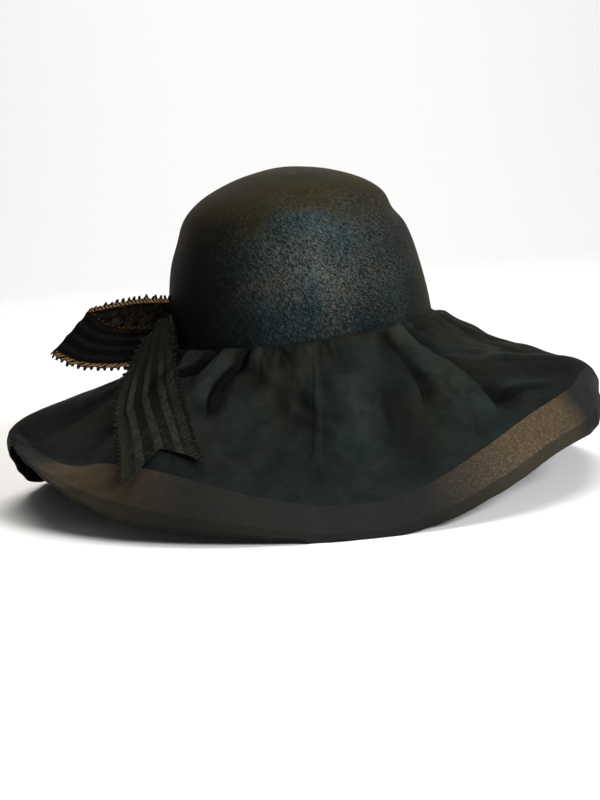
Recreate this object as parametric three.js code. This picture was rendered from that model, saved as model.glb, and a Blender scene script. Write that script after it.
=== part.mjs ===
import * as THREE from 'three';

// A wide-brim sun hat, in millimetres, +Z up, resting on the low stretches of its rim.
// A woven straw crown carries a gathered brim: a sheer outer layer, its rim turned under
// as a thicker hem, over a shorter opaque layer. A ribbon bow with one loop and one long tail is
// sewn to the crown's lower edge. The side with the centre seam faces -Y, the bow -X.
// Azimuths are degrees, anticlockwise from +X seen from above: 270 is the seam side.

// Crown
const headHalfWidth = 85.5;   // crown's outside at the seam, along X
const headHalfDepth = 100;    // the same along Y
const crownHeight = 104.5;    // seam to top
const crownTuck = 4;          // how far the crown reaches down inside the seam
const crownLean = 3.4;        // degrees that the seam's plane rises towards +X
const strawWall = 1.6;
const dentDepth = 3;          // deepest dent of the crown

// Brim
const seatHeight = 100;       // seam's middle above the surface that the rim rests on
const brimHalfWidth = 193;
const brimHalfDepth = 200;
const clothWall = 1;
const hemWall = 1.8;          // the sheer layer turned under at the rim
const clearance = 0.3;        // gap between pieces that touch on the real hat
const foldDepth = 8;          // highest ridge or deepest pleat of the brim
const gatherDepth = 1.6;      // ripple of the gathered edge
const gatherCount = 30;
const gatherReach = 0.16;     // share of the brim over which the gathers die out
const levelBelow = 8;         // rims lower than this are cut level, to lie flat on a surface

// Bow
const ribbonWidth = 42;
const ribbonWall = 1;
const loopLength = 75;        // knot to the loop's far fold
const tailLength = 102;       // knot to the tail's tips
const tailNotch = 12;         // depth of the fishtail cut
const tailLift = 0.6;         // tail over the brim, which it touches on its highest folds
const ribbonBridge = 4;       // how far to each side the stiff ribbon feels the folds
const slopeReach = 9;         // half the distance over which the brim's slope is taken
const knotLength = 20;        // along the seam
const knotHeight = 23;
const knotDepth = 15;         // away from the crown
const bowAzimuth = 203;
const bowHeading = 180;       // azimuth in which the loop points
const tailDrift = 5;          // degrees that the tail turns towards the seam side's middle

// Mesh fineness
const seamSideColumns = 62;
const farSideColumns = 38;
const crownColumns = 44;
const knotSides = 14;
const knotRings = 10;

// Crown outline: height as a share of crownHeight, width as a share of the half widths.
const crownOutline = [
  { height: 0.00, width: 1.000 },
  { height: 0.15, width: 0.986 },
  { height: 0.31, width: 0.958 },
  { height: 0.46, width: 0.922 },
  { height: 0.60, width: 0.868 },
  { height: 0.72, width: 0.800 },
  { height: 0.80, width: 0.722 },
  { height: 0.87, width: 0.605 },
  { height: 0.93, width: 0.442 },
  { height: 0.975, width: 0.250 },
];

// Crown dents: azimuth, height share, spread in degrees, tall share, depth share.
const crownDents = [
  { at: 284, height: 0.80, spread: 24, tall: 0.10, depth: 0.7 },
  { at: 352, height: 0.68, spread: 20, tall: 0.07, depth: 1.0 },
  { at: 190, height: 0.62, spread: 18, tall: 0.09, depth: 0.4 },
];

// Brim sections by azimuth. Along each, a cubic curve runs from the seam to the rim:
// reach is the rim's share of the brim's half widths, near, far and rim are the heights
// of the curve's inner handle, outer handle and rim as shares of seatHeight, tuck is the
// outer handle's share of the run (over 1 rolls the edge under), and under is the share
// of the curve that the opaque layer covers.
const brimSections = [
  { at: 8, reach: 1.01, near: 0.68, far: 0.82, tuck: 1.00, rim: 0.22, under: 0.78 },
  { at: 22, reach: 1.00, near: 0.70, far: 0.75, tuck: 0.96, rim: 0.04, under: 0.78 },
  { at: 36, reach: 0.99, near: 0.72, far: 0.62, tuck: 0.88, rim: -0.02, under: 0.78 },
  { at: 52, reach: 1.00, near: 0.74, far: 0.54, tuck: 0.80, rim: 0.00, under: 0.78 },
  { at: 75, reach: 1.00, near: 0.75, far: 0.50, tuck: 0.74, rim: 0.10, under: 0.78 },
  { at: 100, reach: 1.00, near: 0.75, far: 0.48, tuck: 0.72, rim: 0.12, under: 0.78 },
  { at: 125, reach: 1.00, near: 0.73, far: 0.50, tuck: 0.76, rim: 0.04, under: 0.78 },
  { at: 145, reach: 0.99, near: 0.71, far: 0.56, tuck: 0.86, rim: -0.02, under: 0.78 },
  { at: 160, reach: 0.98, near: 0.68, far: 0.61, tuck: 0.98, rim: 0.01, under: 0.78 },
  { at: 172, reach: 0.98, near: 0.64, far: 0.66, tuck: 1.05, rim: 0.06, under: 0.78 },
  { at: 182, reach: 0.99, near: 0.60, far: 0.69, tuck: 1.09, rim: 0.19, under: 0.78 },
  { at: 191, reach: 0.99, near: 0.60, far: 0.60, tuck: 1.06, rim: 0.38, under: 0.80 },
  { at: 201, reach: 0.99, near: 0.63, far: 0.38, tuck: 0.92, rim: 0.42, under: 0.82 },
  { at: 213, reach: 1.00, near: 0.65, far: 0.36, tuck: 0.80, rim: 0.36, under: 0.81 },
  { at: 225, reach: 1.00, near: 0.66, far: 0.54, tuck: 0.74, rim: 0.225, under: 0.78 },
  { at: 237, reach: 1.00, near: 0.67, far: 0.62, tuck: 0.72, rim: 0.13, under: 0.78 },
  { at: 249, reach: 1.00, near: 0.67, far: 0.49, tuck: 0.70, rim: 0.085, under: 0.78 },
  { at: 260, reach: 1.00, near: 0.67, far: 0.32, tuck: 0.68, rim: 0.055, under: 0.79 },
  { at: 278, reach: 1.00, near: 0.67, far: 0.22, tuck: 0.66, rim: -0.02, under: 0.80 },
  { at: 292, reach: 1.00, near: 0.69, far: 0.29, tuck: 0.68, rim: 0.055, under: 0.79 },
  { at: 305, reach: 1.00, near: 0.74, far: 0.47, tuck: 0.72, rim: 0.175, under: 0.78 },
  { at: 318, reach: 1.00, near: 0.76, far: 0.65, tuck: 0.80, rim: 0.295, under: 0.77 },
  { at: 332, reach: 1.01, near: 0.75, far: 0.76, tuck: 0.90, rim: 0.335, under: 0.76 },
  { at: 347, reach: 1.015, near: 0.70, far: 0.81, tuck: 0.98, rim: 0.38, under: 0.76 },
];
const innerHandleRun = 0.36;  // share of the run at which the curve's inner handle stands
const innerHandleLean = 0.6;  // share of the crown's lean that the inner handle keeps

// Brim folds: azimuth at the seam, degrees it drifts from seam to rim, the shares of the
// brim between which it shows, half width in degrees, height as a share of foldDepth.
const brimFolds = [
  { at: 213, drift: 6, from: 0.00, to: 0.38, spread: 4.5, height: -0.55 },
  { at: 222, drift: 4, from: 0.00, to: 0.32, spread: 4.5, height: 0.40 },
  { at: 203, drift: 4, from: 0.32, to: 0.80, spread: 5.0, height: 0.35 },
  { at: 209, drift: 12, from: 0.48, to: 0.84, spread: 5.0, height: -0.35 },
  { at: 238, drift: 2, from: 0.02, to: 0.42, spread: 4.5, height: 0.55 },
  { at: 245, drift: -4, from: 0.00, to: 0.48, spread: 4.0, height: -0.65 },
  { at: 253, drift: 0, from: 0.00, to: 0.30, spread: 5.0, height: 0.35 },
  { at: 261, drift: -2, from: 0.00, to: 0.22, spread: 3.6, height: -0.40 },
  { at: 271, drift: -3, from: 0.02, to: 0.60, spread: 5.0, height: 0.15 },
  { at: 279, drift: 0, from: 0.00, to: 0.20, spread: 3.8, height: -0.65 },
  { at: 286, drift: -4, from: 0.14, to: 0.56, spread: 7.5, height: 0.55 },
  { at: 300, drift: -16, from: 0.06, to: 0.52, spread: 4.2, height: -0.35 },
  { at: 304, drift: -8, from: 0.00, to: 0.50, spread: 3.8, height: -0.60 },
  { at: 313, drift: 1, from: 0.00, to: 0.70, spread: 4.4, height: 0.85 },
  { at: 320, drift: 0, from: 0.02, to: 0.24, spread: 4.4, height: -0.35 },
  { at: 317, drift: 4, from: 0.50, to: 0.76, spread: 5.0, height: -0.80 },
  { at: 304, drift: 62, from: 0.38, to: 0.92, spread: 5.5, height: 0.50 },
  { at: 316, drift: 62, from: 0.38, to: 0.95, spread: 6.0, height: -0.55 },
  { at: 352, drift: 8, from: 0.00, to: 0.28, spread: 7.0, height: 0.45 },
  { at: 8, drift: -2, from: 0.24, to: 0.62, spread: 9.0, height: -0.40 },
  { at: 24, drift: 2, from: 0.00, to: 0.55, spread: 5.5, height: 0.35 },
  { at: 44, drift: 3, from: 0.00, to: 0.60, spread: 6.0, height: -0.40 },
  { at: 66, drift: -3, from: 0.00, to: 0.50, spread: 6.0, height: 0.40 },
  { at: 88, drift: 2, from: 0.00, to: 0.62, spread: 6.0, height: -0.40 },
  { at: 108, drift: -2, from: 0.00, to: 0.50, spread: 6.5, height: 0.40 },
  { at: 130, drift: 3, from: 0.00, to: 0.60, spread: 6.0, height: -0.40 },
  { at: 152, drift: 2, from: 0.00, to: 0.55, spread: 6.0, height: 0.35 },
  { at: 172, drift: -2, from: 0.00, to: 0.40, spread: 5.0, height: -0.35 },
];
const foldSoftness = 0.05;    // share of the brim over which a fold begins or ends
const seamRamp = 0.05;        // share of the brim over which folds grow from the seam

// Rows of the brim's mesh, as shares of the opaque layer's stretch and of the sheer band.
const opaqueRows = [0, 0.07, 0.2, 0.36, 0.55, 0.77, 1];
const sheerRows = [0.36, 0.70, 0.74, 1];
const hemFirstRow = 9;        // the rows of the whole brim from here on are hem

// Bow loop, from the knot out along the front layer, round the fold and back. out is a
// share of loopLength, side (towards -Y) and up are shares of ribbonWidth, from the
// knot's centre, first for the ribbon's lower edge and then for its upper edge.
const loopStations = [
  { lowOut: 0.107, lowSide: 0.10, lowUp: -0.20, topOut: 0.107, topSide: -0.02, topUp: 0.15 },
  { lowOut: 0.22, lowSide: 0.20, lowUp: -0.42, topOut: 0.22, topSide: -0.22, topUp: 0.14 },
  { lowOut: 0.42, lowSide: 0.24, lowUp: -0.47, topOut: 0.37, topSide: -0.48, topUp: 0.13 },
  { lowOut: 0.72, lowSide: 0.18, lowUp: -0.43, topOut: 0.54, topSide: -0.62, topUp: 0.20 },
  { lowOut: 0.93, lowSide: 0.06, lowUp: -0.31, topOut: 0.64, topSide: -0.76, topUp: 0.34 },
  { lowOut: 1.00, lowSide: -0.12, lowUp: -0.22, topOut: 0.68, topSide: -0.92, topUp: 0.42 },
  { lowOut: 0.88, lowSide: -0.34, lowUp: -0.18, topOut: 0.60, topSide: -1.08, topUp: 0.45 },
  { lowOut: 0.58, lowSide: -0.50, lowUp: -0.16, topOut: 0.42, topSide: -1.10, topUp: 0.50 },
  { lowOut: 0.32, lowSide: -0.46, lowUp: -0.10, topOut: 0.20, topSide: -0.90, topUp: 0.54 },
  { lowOut: 0.135, lowSide: -0.22, lowUp: -0.02, topOut: 0.09, topSide: -0.42, topUp: 0.50 },
];
const loopRowsPerStation = 2;
const loopSpans = 3;

// Bow tail: run as a share of tailLength, the ribbon's two edges as shares of its width
// on either side of the tail's line, and its height over the brim as a share of its width.
const tailStations = [
  { run: 0.00, left: 0.08, right: 0.25, lift: 0.58 },
  { run: 0.05, left: -0.02, right: 0.27, lift: 0.30 },
  { run: 0.12, left: -0.36, right: 0.27, lift: 0.10 },
  { run: 0.24, left: -0.60, right: 0.27, lift: 0.025 },
  { run: 0.42, left: -0.59, right: 0.30, lift: 0.00 },
  { run: 0.60, left: -0.57, right: 0.33, lift: 0.00 },
  { run: 0.80, left: -0.55, right: 0.41, lift: 0.00 },
  { run: 1.00, left: -0.57, right: 0.53, lift: 0.00 },
];
const tailRowsPerStation = 3;
const tailSpans = 8;
const tailStart = { out: 1.30, side: 0.66 };  // in knot half sizes from its centre

const up = new THREE.Vector3(0, 0, 1);
const radians = THREE.MathUtils.degToRad;
const lean = Math.tan(radians(crownLean));

function wrapDegrees(angle) {
  return THREE.MathUtils.euclideanModulo(angle + 180, 360) - 180;
}

function cubic(t, start, handle1, handle2, end) {
  const s = 1 - t;
  return s * s * s * start + 3 * s * s * t * handle1 + 3 * s * t * t * handle2 + t * t * t * end;
}

// A smooth value through table rows around the hat, by azimuth.
function sectionAt(rows, azimuth) {
  const turn = THREE.MathUtils.euclideanModulo(azimuth, 360);
  const count = rows.length;
  let next = rows.findIndex((row) => row.at > turn);
  if (next < 0) next = count;
  const spot = (index) => {
    const wrapped = THREE.MathUtils.euclideanModulo(index, count);
    return { row: rows[wrapped], at: rows[wrapped].at + 360 * Math.floor(index / count) };
  };
  const [before, from, to, after] = [spot(next - 2), spot(next - 1), spot(next), spot(next + 1)];
  const span = to.at - from.at;
  const u = (turn - from.at) / span;
  const result = {};
  for (const key of Object.keys(from.row)) {
    const slopeFrom = (to.row[key] - before.row[key]) / (to.at - before.at) * span;
    const slopeTo = (after.row[key] - from.row[key]) / (after.at - from.at) * span;
    result[key] = (2 * u ** 3 - 3 * u ** 2 + 1) * from.row[key]
      + (u ** 3 - 2 * u ** 2 + u) * slopeFrom
      + (3 * u ** 2 - 2 * u ** 3) * to.row[key]
      + (u ** 3 - u ** 2) * slopeTo;
  }
  return result;
}

// A smooth value along an open table, u from 0 at its first row to 1 at its last.
function stationAt(rows, u) {
  const last = rows.length - 1;
  const place = Math.min(Math.max(u, 0), 1) * last;
  const index = Math.min(Math.floor(place), last - 1);
  const t = place - index;
  const pick = (offset) => rows[Math.min(Math.max(index + offset, 0), last)];
  const [a, b, c, d] = [pick(-1), pick(0), pick(1), pick(2)];
  const result = {};
  for (const key of Object.keys(b)) {
    result[key] = 0.5 * (2 * b[key] + (c[key] - a[key]) * t
      + (2 * a[key] - 5 * b[key] + 4 * c[key] - d[key]) * t ** 2
      + (3 * b[key] - a[key] - 3 * c[key] + d[key]) * t ** 3);
  }
  return result;
}

// A closed thin shell between two grids of points. Rows run along the first index. A
// wrapped shell closes round its columns, and poles close it past its last row.
function shellGeometry(outer, inner, { wrapped = false, poles = null } = {}) {
  const rows = outer.length;
  const columns = outer[0].length;
  const points = [...outer.flat(), ...inner.flat(), ...(poles ?? [])];
  const innerStart = rows * columns;
  const outerAt = (r, c) => r * columns + (c % columns);
  const innerAt = (r, c) => innerStart + outerAt(r, c);
  const faces = [];
  const quad = (a, b, c, d) => faces.push(a, b, c, a, c, d);
  const spans = wrapped ? columns : columns - 1;
  for (let r = 0; r < rows - 1; r += 1) {
    for (let c = 0; c < spans; c += 1) {
      quad(outerAt(r, c), outerAt(r + 1, c), outerAt(r + 1, c + 1), outerAt(r, c + 1));
      quad(innerAt(r, c), innerAt(r, c + 1), innerAt(r + 1, c + 1), innerAt(r + 1, c));
    }
  }
  for (let c = 0; c < spans; c += 1) {
    quad(outerAt(0, c), outerAt(0, c + 1), innerAt(0, c + 1), innerAt(0, c));
    if (poles) {
      faces.push(outerAt(rows - 1, c), points.length - 2, outerAt(rows - 1, c + 1));
      faces.push(innerAt(rows - 1, c), innerAt(rows - 1, c + 1), points.length - 1);
    } else {
      const last = rows - 1;
      quad(innerAt(last, c), innerAt(last, c + 1), outerAt(last, c + 1), outerAt(last, c));
    }
  }
  if (!wrapped) {
    for (let r = 0; r < rows - 1; r += 1) {
      quad(innerAt(r, 0), innerAt(r + 1, 0), outerAt(r + 1, 0), outerAt(r, 0));
      quad(outerAt(r, spans), outerAt(r + 1, spans), innerAt(r + 1, spans), innerAt(r, spans));
    }
  }
  const geometry = new THREE.BufferGeometry().setFromPoints(points);
  geometry.setIndex(faces);
  if (signedVolume(geometry) < 0) {
    for (let i = 0; i < faces.length; i += 3) [faces[i], faces[i + 1]] = [faces[i + 1], faces[i]];
    geometry.setIndex(faces);
  }
  geometry.computeVertexNormals();
  return geometry;
}

function signedVolume(geometry) {
  const place = geometry.getAttribute('position');
  const index = geometry.getIndex();
  const [a, b, c] = [new THREE.Vector3(), new THREE.Vector3(), new THREE.Vector3()];
  let total = 0;
  for (let i = 0; i < index.count; i += 3) {
    a.fromBufferAttribute(place, index.getX(i));
    b.fromBufferAttribute(place, index.getX(i + 1));
    c.fromBufferAttribute(place, index.getX(i + 2));
    total += a.dot(b.cross(c)) / 6;
  }
  return total;
}

// Crown

// A point of the crown's outside, by azimuth and height over the seam along its own axis.
function crownPoint(azimuth, height, width) {
  const angle = radians(azimuth);
  const point = new THREE.Vector3(
    headHalfWidth * width * Math.cos(angle), headHalfDepth * width * Math.sin(angle), height);
  point.applyAxisAngle(new THREE.Vector3(0, 1, 0), -radians(crownLean));
  point.z += seatHeight;
  return point;
}

// The crown's width at a share of its height, straight between the rows of its outline.
function crownWidth(heightShare) {
  const above = crownOutline.findIndex((row) => row.height > heightShare);
  const [from, to] = [crownOutline[above - 1], crownOutline[above]];
  return THREE.MathUtils.mapLinear(heightShare, from.height, to.height, from.width, to.width);
}

function crownDent(azimuth, heightShare) {
  let depth = 0;
  for (const dent of crownDents) {
    const across = wrapDegrees(azimuth - dent.at) / dent.spread;
    const along = (heightShare - dent.height) / dent.tall;
    depth += dent.depth * dentDepth * Math.exp(-across * across - along * along);
  }
  return depth;
}

function crownGeometry() {
  const axis = up.clone().applyAxisAngle(new THREE.Vector3(0, 1, 0), -radians(crownLean));
  const rows = [{ height: -crownTuck / crownHeight, width: 1 }, ...crownOutline];
  const outer = [];
  const inner = [];
  rows.forEach((row, index) => {
    const below = rows[Math.max(index - 1, 0)];
    const above = rows[index + 1] ?? { height: 1, width: 0 };
    const outerRow = [];
    const innerRow = [];
    for (let column = 0; column < crownColumns; column += 1) {
      const azimuth = 360 * column / crownColumns;
      const angle = radians(azimuth);
      const point = crownPoint(azimuth, row.height * crownHeight, row.width);
      const rise = crownPoint(azimuth, above.height * crownHeight, above.width)
        .sub(crownPoint(azimuth, below.height * crownHeight, below.width));
      const round = crownPoint(azimuth + 90, 0, 1).sub(crownPoint(0, 0, 0));
      if (index < 2) rise.copy(axis);
      const normal = new THREE.Vector3().crossVectors(round, rise).normalize();
      point.addScaledVector(normal, -crownDent(azimuth, row.height));
      outerRow.push(point);
      innerRow.push(point.clone().addScaledVector(normal, -strawWall));
    }
    outer.push(outerRow);
    inner.push(innerRow);
  });
  const top = crownPoint(0, crownHeight, 0);
  const poles = [top, top.clone().addScaledVector(axis, -strawWall)];
  return shellGeometry(outer, inner, { wrapped: true, poles });
}

// Brim

function foldHeight(azimuth, share) {
  let sum = 0;
  for (const fold of brimFolds) {
    const across = wrapDegrees(azimuth - fold.at - fold.drift * share) / fold.spread;
    const begin = fold.from > 0
      ? THREE.MathUtils.smoothstep(share, fold.from - foldSoftness, fold.from + foldSoftness) : 1;
    const end = 1
      - THREE.MathUtils.smoothstep(share, fold.to - 2 * foldSoftness, fold.to + foldSoftness);
    sum += fold.height * foldDepth * Math.exp(-across * across) * begin * end;
  }
  const ripple = 0.5 - 0.5 * Math.cos(radians(azimuth) * gatherCount);
  sum += gatherDepth * ripple * Math.exp(-((share / gatherReach) ** 2));
  return sum * THREE.MathUtils.smoothstep(share, 0, seamRamp);
}

// The brim's outside without folds.
function smoothBrimPoint(azimuth, share) {
  const row = sectionAt(brimSections, azimuth);
  const angle = radians(azimuth);
  const seam = crownPoint(azimuth, 0, 1);
  seam.x += clearance * Math.cos(angle);
  seam.y += clearance * Math.sin(angle);
  const rimX = brimHalfWidth * row.reach * Math.cos(angle);
  const rimY = brimHalfDepth * row.reach * Math.sin(angle);
  const run = cubic(share, 0, innerHandleRun, row.tuck, 1);
  const nearHeight = seatHeight * row.near + lean * seam.x * innerHandleLean;
  const rimHeight = seatHeight * Math.max(row.rim, 0);
  return new THREE.Vector3(
    seam.x + (rimX - seam.x) * run,
    seam.y + (rimY - seam.y) * run,
    cubic(share, seam.z, nearHeight, seatHeight * row.far, rimHeight));
}

function surfaceNormal(surface, azimuth, share) {
  const step = { turn: 0.8, share: 0.012 };
  const inward = Math.max(share - step.share, 0);
  const outward = Math.min(share + step.share, 1);
  const along = surface(azimuth, outward).sub(surface(azimuth, inward));
  const round = surface(azimuth + step.turn, share).sub(surface(azimuth - step.turn, share));
  return along.cross(round).normalize();
}

function brimPoint(azimuth, share) {
  const normal = surfaceNormal(smoothBrimPoint, azimuth, share);
  return smoothBrimPoint(azimuth, share).addScaledVector(normal, foldHeight(azimuth, share));
}

// A point depth below the brim's outside. At the seam the layers end along the crown's
// wall, and low stretches of the rim are cut level, so that they are flat where they rest.
function layerPoint(azimuth, share, depth) {
  const normal = surfaceNormal(brimPoint, azimuth, share);
  if (share === 0) {
    const edge = crownPoint(azimuth, -depth / normal.z, 1);
    edge.x += clearance * Math.cos(radians(azimuth));
    edge.y += clearance * Math.sin(radians(azimuth));
    return edge;
  }
  const point = brimPoint(azimuth, share);
  const square = normal.clone().multiplyScalar(-depth);
  if (share < 1) return point.add(square);
  const level = new THREE.Vector3(normal.x, normal.y, 0);
  level.setLength(-depth / Math.max(level.length(), 0.4));
  return point.add(level.lerp(square, THREE.MathUtils.smoothstep(point.z, 0, levelBelow)));
}

function brimColumns() {
  const columns = [];
  for (let i = 0; i < farSideColumns; i += 1) columns.push(180 * i / farSideColumns);
  for (let i = 0; i < seamSideColumns; i += 1) columns.push(180 + 180 * i / seamSideColumns);
  return columns;
}

// The shares of all the brim's rows at one azimuth, from the seam to the rim.
function brimShares(azimuth) {
  const { under } = sectionAt(brimSections, azimuth);
  const opaque = opaqueRows.map((row) => row * under);
  return [...opaque, ...sheerRows.map((row) => under + row * (1 - under))];
}

function brimRow(row, depth) {
  return brimColumns().map((azimuth) => layerPoint(azimuth, brimShares(azimuth)[row], depth));
}

function outerLayerGeometry() {
  const outer = [];
  const inner = [];
  for (let row = 0; row < opaqueRows.length + sheerRows.length; row += 1) {
    outer.push(brimRow(row, 0));
    inner.push(brimRow(row, row < hemFirstRow ? clothWall : hemWall));
  }
  return shellGeometry(outer, inner, { wrapped: true });
}

function innerLayerGeometry() {
  const outer = [];
  const inner = [];
  for (let row = 0; row < opaqueRows.length; row += 1) {
    outer.push(brimRow(row, clothWall + clearance));
    inner.push(brimRow(row, 2 * clothWall + clearance));
  }
  return shellGeometry(outer, inner, { wrapped: true });
}

// Bow

const knotHalf = new THREE.Vector3(knotDepth / 2, knotLength / 2, knotHeight / 2);
const bowAngle = radians(bowAzimuth);
const knotOut = new THREE.Vector3(
  headHalfDepth * Math.cos(bowAngle), headHalfWidth * Math.sin(bowAngle), 0).normalize();
const knotSide = new THREE.Vector3(-knotOut.y, knotOut.x, 0);
const knotRise = 0.34;        // share of the knot's height that its centre stands over the seam
const knotSeat = knotRise * knotHeight;
const knotCentre = crownPoint(bowAzimuth, knotSeat, crownWidth(knotSeat / crownHeight))
  .addScaledVector(knotOut, knotHalf.x + clearance);

function knotGeometry() {
  const geometry = new THREE.SphereGeometry(1, knotSides, knotRings);
  geometry.rotateX(Math.PI / 2);
  geometry.scale(knotHalf.x, knotHalf.y, knotHalf.z);
  geometry.rotateZ(Math.atan2(knotOut.y, knotOut.x));
  return geometry;
}

// A ribbon between two rows of edge points, thickened to both sides of its own surface.
function ribbonGeometry(middle) {
  const rows = middle.length;
  const columns = middle[0].length;
  const outer = [];
  const inner = [];
  for (let r = 0; r < rows; r += 1) {
    outer.push([]);
    inner.push([]);
    for (let c = 0; c < columns; c += 1) {
      const along = middle[Math.min(r + 1, rows - 1)][c].clone().sub(middle[Math.max(r - 1, 0)][c]);
      const across = middle[r][Math.min(c + 1, columns - 1)].clone().sub(middle[r][Math.max(c - 1, 0)]);
      const normal = along.cross(across).normalize();
      outer[r].push(middle[r][c].clone().addScaledVector(normal, ribbonWall / 2));
      inner[r].push(middle[r][c].clone().addScaledVector(normal, -ribbonWall / 2));
    }
  }
  return shellGeometry(outer, inner);
}

function loopGeometry() {
  const heading = radians(bowHeading);
  const out = new THREE.Vector3(Math.cos(heading), Math.sin(heading), 0);
  const side = new THREE.Vector3(-out.y, out.x, 0);
  const count = (loopStations.length - 1) * loopRowsPerStation;
  const edge = (outShare, sideShare, upShare) => knotCentre.clone()
    .addScaledVector(out, outShare * loopLength)
    .addScaledVector(side, sideShare * ribbonWidth)
    .addScaledVector(up, upShare * ribbonWidth);
  const middle = [];
  for (let i = 0; i <= count; i += 1) {
    const station = stationAt(loopStations, i / count);
    const low = edge(station.lowOut, station.lowSide, station.lowUp);
    const top = edge(station.topOut, station.topSide, station.topUp);
    const row = [];
    for (let c = 0; c <= loopSpans; c += 1) row.push(low.clone().lerp(top, c / loopSpans));
    middle.push(row);
  }
  return ribbonGeometry(middle);
}

// A measure of the finished outer layer from above: its height and how steep it is at a
// place in plan, or the seam's height inside the crown.
function brimSurveyor(geometry) {
  const place = geometry.getAttribute('position');
  const index = geometry.getIndex();
  const faces = [];
  const corner = (i) => new THREE.Vector3().fromBufferAttribute(place, index.getX(i));
  for (let i = 0; i < index.count; i += 3) {
    const corners = [corner(i), corner(i + 1), corner(i + 2)];
    const box = new THREE.Box2().setFromPoints(corners);
    faces.push({ face: new THREE.Triangle(...corners), box });
  }
  const across = (p, q, x, y) => (q.x - p.x) * (y - p.y) - (q.y - p.y) * (x - p.x);
  return (x, y) => {
    let best = null;
    const spot = new THREE.Vector2(x, y);
    for (const { face, box } of faces) {
      if (!box.containsPoint(spot)) continue;
      const { a, b, c } = face;
      const whole = across(a, b, c.x, c.y);
      const u = across(b, c, x, y) / whole;
      const v = across(c, a, x, y) / whole;
      const w = across(a, b, x, y) / whole;
      const height = u * a.z + v * b.z + w * c.z;
      if (whole > 0 && u >= 0 && v >= 0 && w >= 0 && !(best?.height > height)) {
        const normal = face.getNormal(new THREE.Vector3());
        best = { height, steepness: 1 / normal.z };
      }
    }
    return best ?? { height: seatHeight + lean * x, steepness: 1 };
  };
}

// The height of a stiff ribbon's middle that rests on the brim's folds round a place.
function ribbonHeight(survey, x, y) {
  let height = -Infinity;
  for (const dx of [-ribbonBridge, 0, ribbonBridge]) {
    for (const dy of [-ribbonBridge, 0, ribbonBridge]) {
      const here = survey(x, y);
      const there = survey(x + dx, y + dy);
      const slope = (survey(x + slopeReach, y).height - survey(x - slopeReach, y).height) * dx
        + (survey(x, y + slopeReach).height - survey(x, y - slopeReach).height) * dy;
      const level = there.height - slope / (2 * slopeReach);
      height = Math.max(height, level + ribbonWall / 2 * here.steepness);
    }
  }
  return height;
}

function tailGeometry(outerLayer) {
  const survey = brimSurveyor(outerLayer);
  const start = knotCentre.clone()
    .addScaledVector(knotOut, tailStart.out * knotHalf.x)
    .addScaledVector(knotSide, tailStart.side * knotHalf.y);
  const heading = radians(270 + tailDrift);
  const along = new THREE.Vector3(Math.cos(heading), Math.sin(heading), 0);
  const across = new THREE.Vector3(-along.y, along.x, 0);
  const count = (tailStations.length - 1) * tailRowsPerStation;
  const middle = [];
  for (let i = 0; i <= count; i += 1) {
    const station = stationAt(tailStations, i / count);
    const row = [];
    for (let c = 0; c <= tailSpans; c += 1) {
      const u = c / tailSpans;
      const cut = tailNotch * station.run * station.run * (1 - Math.abs(2 * u - 1));
      const offset = THREE.MathUtils.lerp(station.left, station.right, u) * ribbonWidth;
      const x = start.x + along.x * (station.run * tailLength - cut) + across.x * offset;
      const y = start.y + along.y * (station.run * tailLength - cut) + across.y * offset;
      const rise = tailLift + station.lift * ribbonWidth;
      row.push(new THREE.Vector3(x, y, ribbonHeight(survey, x, y) + rise));
    }
    middle.push(row);
  }
  return ribbonGeometry(middle);
}

// Assembly

function finish(color, roughness) {
  return new THREE.MeshStandardMaterial({ color, roughness, metalness: 0, side: THREE.DoubleSide });
}

function piece(name, geometry, material) {
  const mesh = new THREE.Mesh(geometry, material);
  mesh.name = name;
  return mesh;
}

const sheer = finish(0x3a352e, 0.7);
sheer.transparent = true;
sheer.opacity = 0.8;

const knot = piece('bow_knot', knotGeometry(), finish(0x1b201d, 0.5));
knot.position.copy(knotCentre);

const outerLayer = outerLayerGeometry();
const hat = new THREE.Group();
hat.add(
  piece('crown', crownGeometry(), finish(0x25292a, 0.75)),
  piece('brim_outer_layer', outerLayer, sheer),
  piece('brim_inner_layer', innerLayerGeometry(), finish(0x27302c, 0.8)),
  piece('bow_loop', loopGeometry(), finish(0x1f1c18, 0.5)),
  knot,
  piece('bow_tail', tailGeometry(outerLayer), finish(0x3a403a, 0.5)),
);

// The origin is the middle of the hat's box, on the surface that it rests on.
hat.updateMatrixWorld(true);
const box = new THREE.Box3().setFromObject(hat, true);
hat.position.set(-(box.min.x + box.max.x) / 2, -(box.min.y + box.max.y) / 2, -box.min.z);

export default hat;
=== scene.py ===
import math

import bpy
import numpy as np
from mathutils import Matrix, Vector
from mathutils.bvhtree import BVHTree


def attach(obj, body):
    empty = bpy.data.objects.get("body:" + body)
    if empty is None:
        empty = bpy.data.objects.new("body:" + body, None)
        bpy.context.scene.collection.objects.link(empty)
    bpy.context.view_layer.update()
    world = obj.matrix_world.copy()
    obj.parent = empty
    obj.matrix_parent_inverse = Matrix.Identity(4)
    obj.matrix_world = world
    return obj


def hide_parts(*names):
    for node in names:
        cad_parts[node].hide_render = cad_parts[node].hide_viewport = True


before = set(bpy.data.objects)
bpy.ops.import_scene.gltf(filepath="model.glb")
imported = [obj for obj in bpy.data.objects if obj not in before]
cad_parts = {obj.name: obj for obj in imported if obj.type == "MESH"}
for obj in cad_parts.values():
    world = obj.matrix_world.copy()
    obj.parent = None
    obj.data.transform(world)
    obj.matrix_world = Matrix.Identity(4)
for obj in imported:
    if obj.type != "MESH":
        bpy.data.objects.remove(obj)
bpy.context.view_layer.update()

# A wide-brim sun hat resting on its rim: a woven straw crown, a gathered brim of sheer
# organza over a shorter opaque layer, and a striped ribbon bow with picot edges.
# Sizes are in metres. Azimuths are degrees, anticlockwise from +X seen from above: the
# side with the centre seam is at 270.

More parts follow.
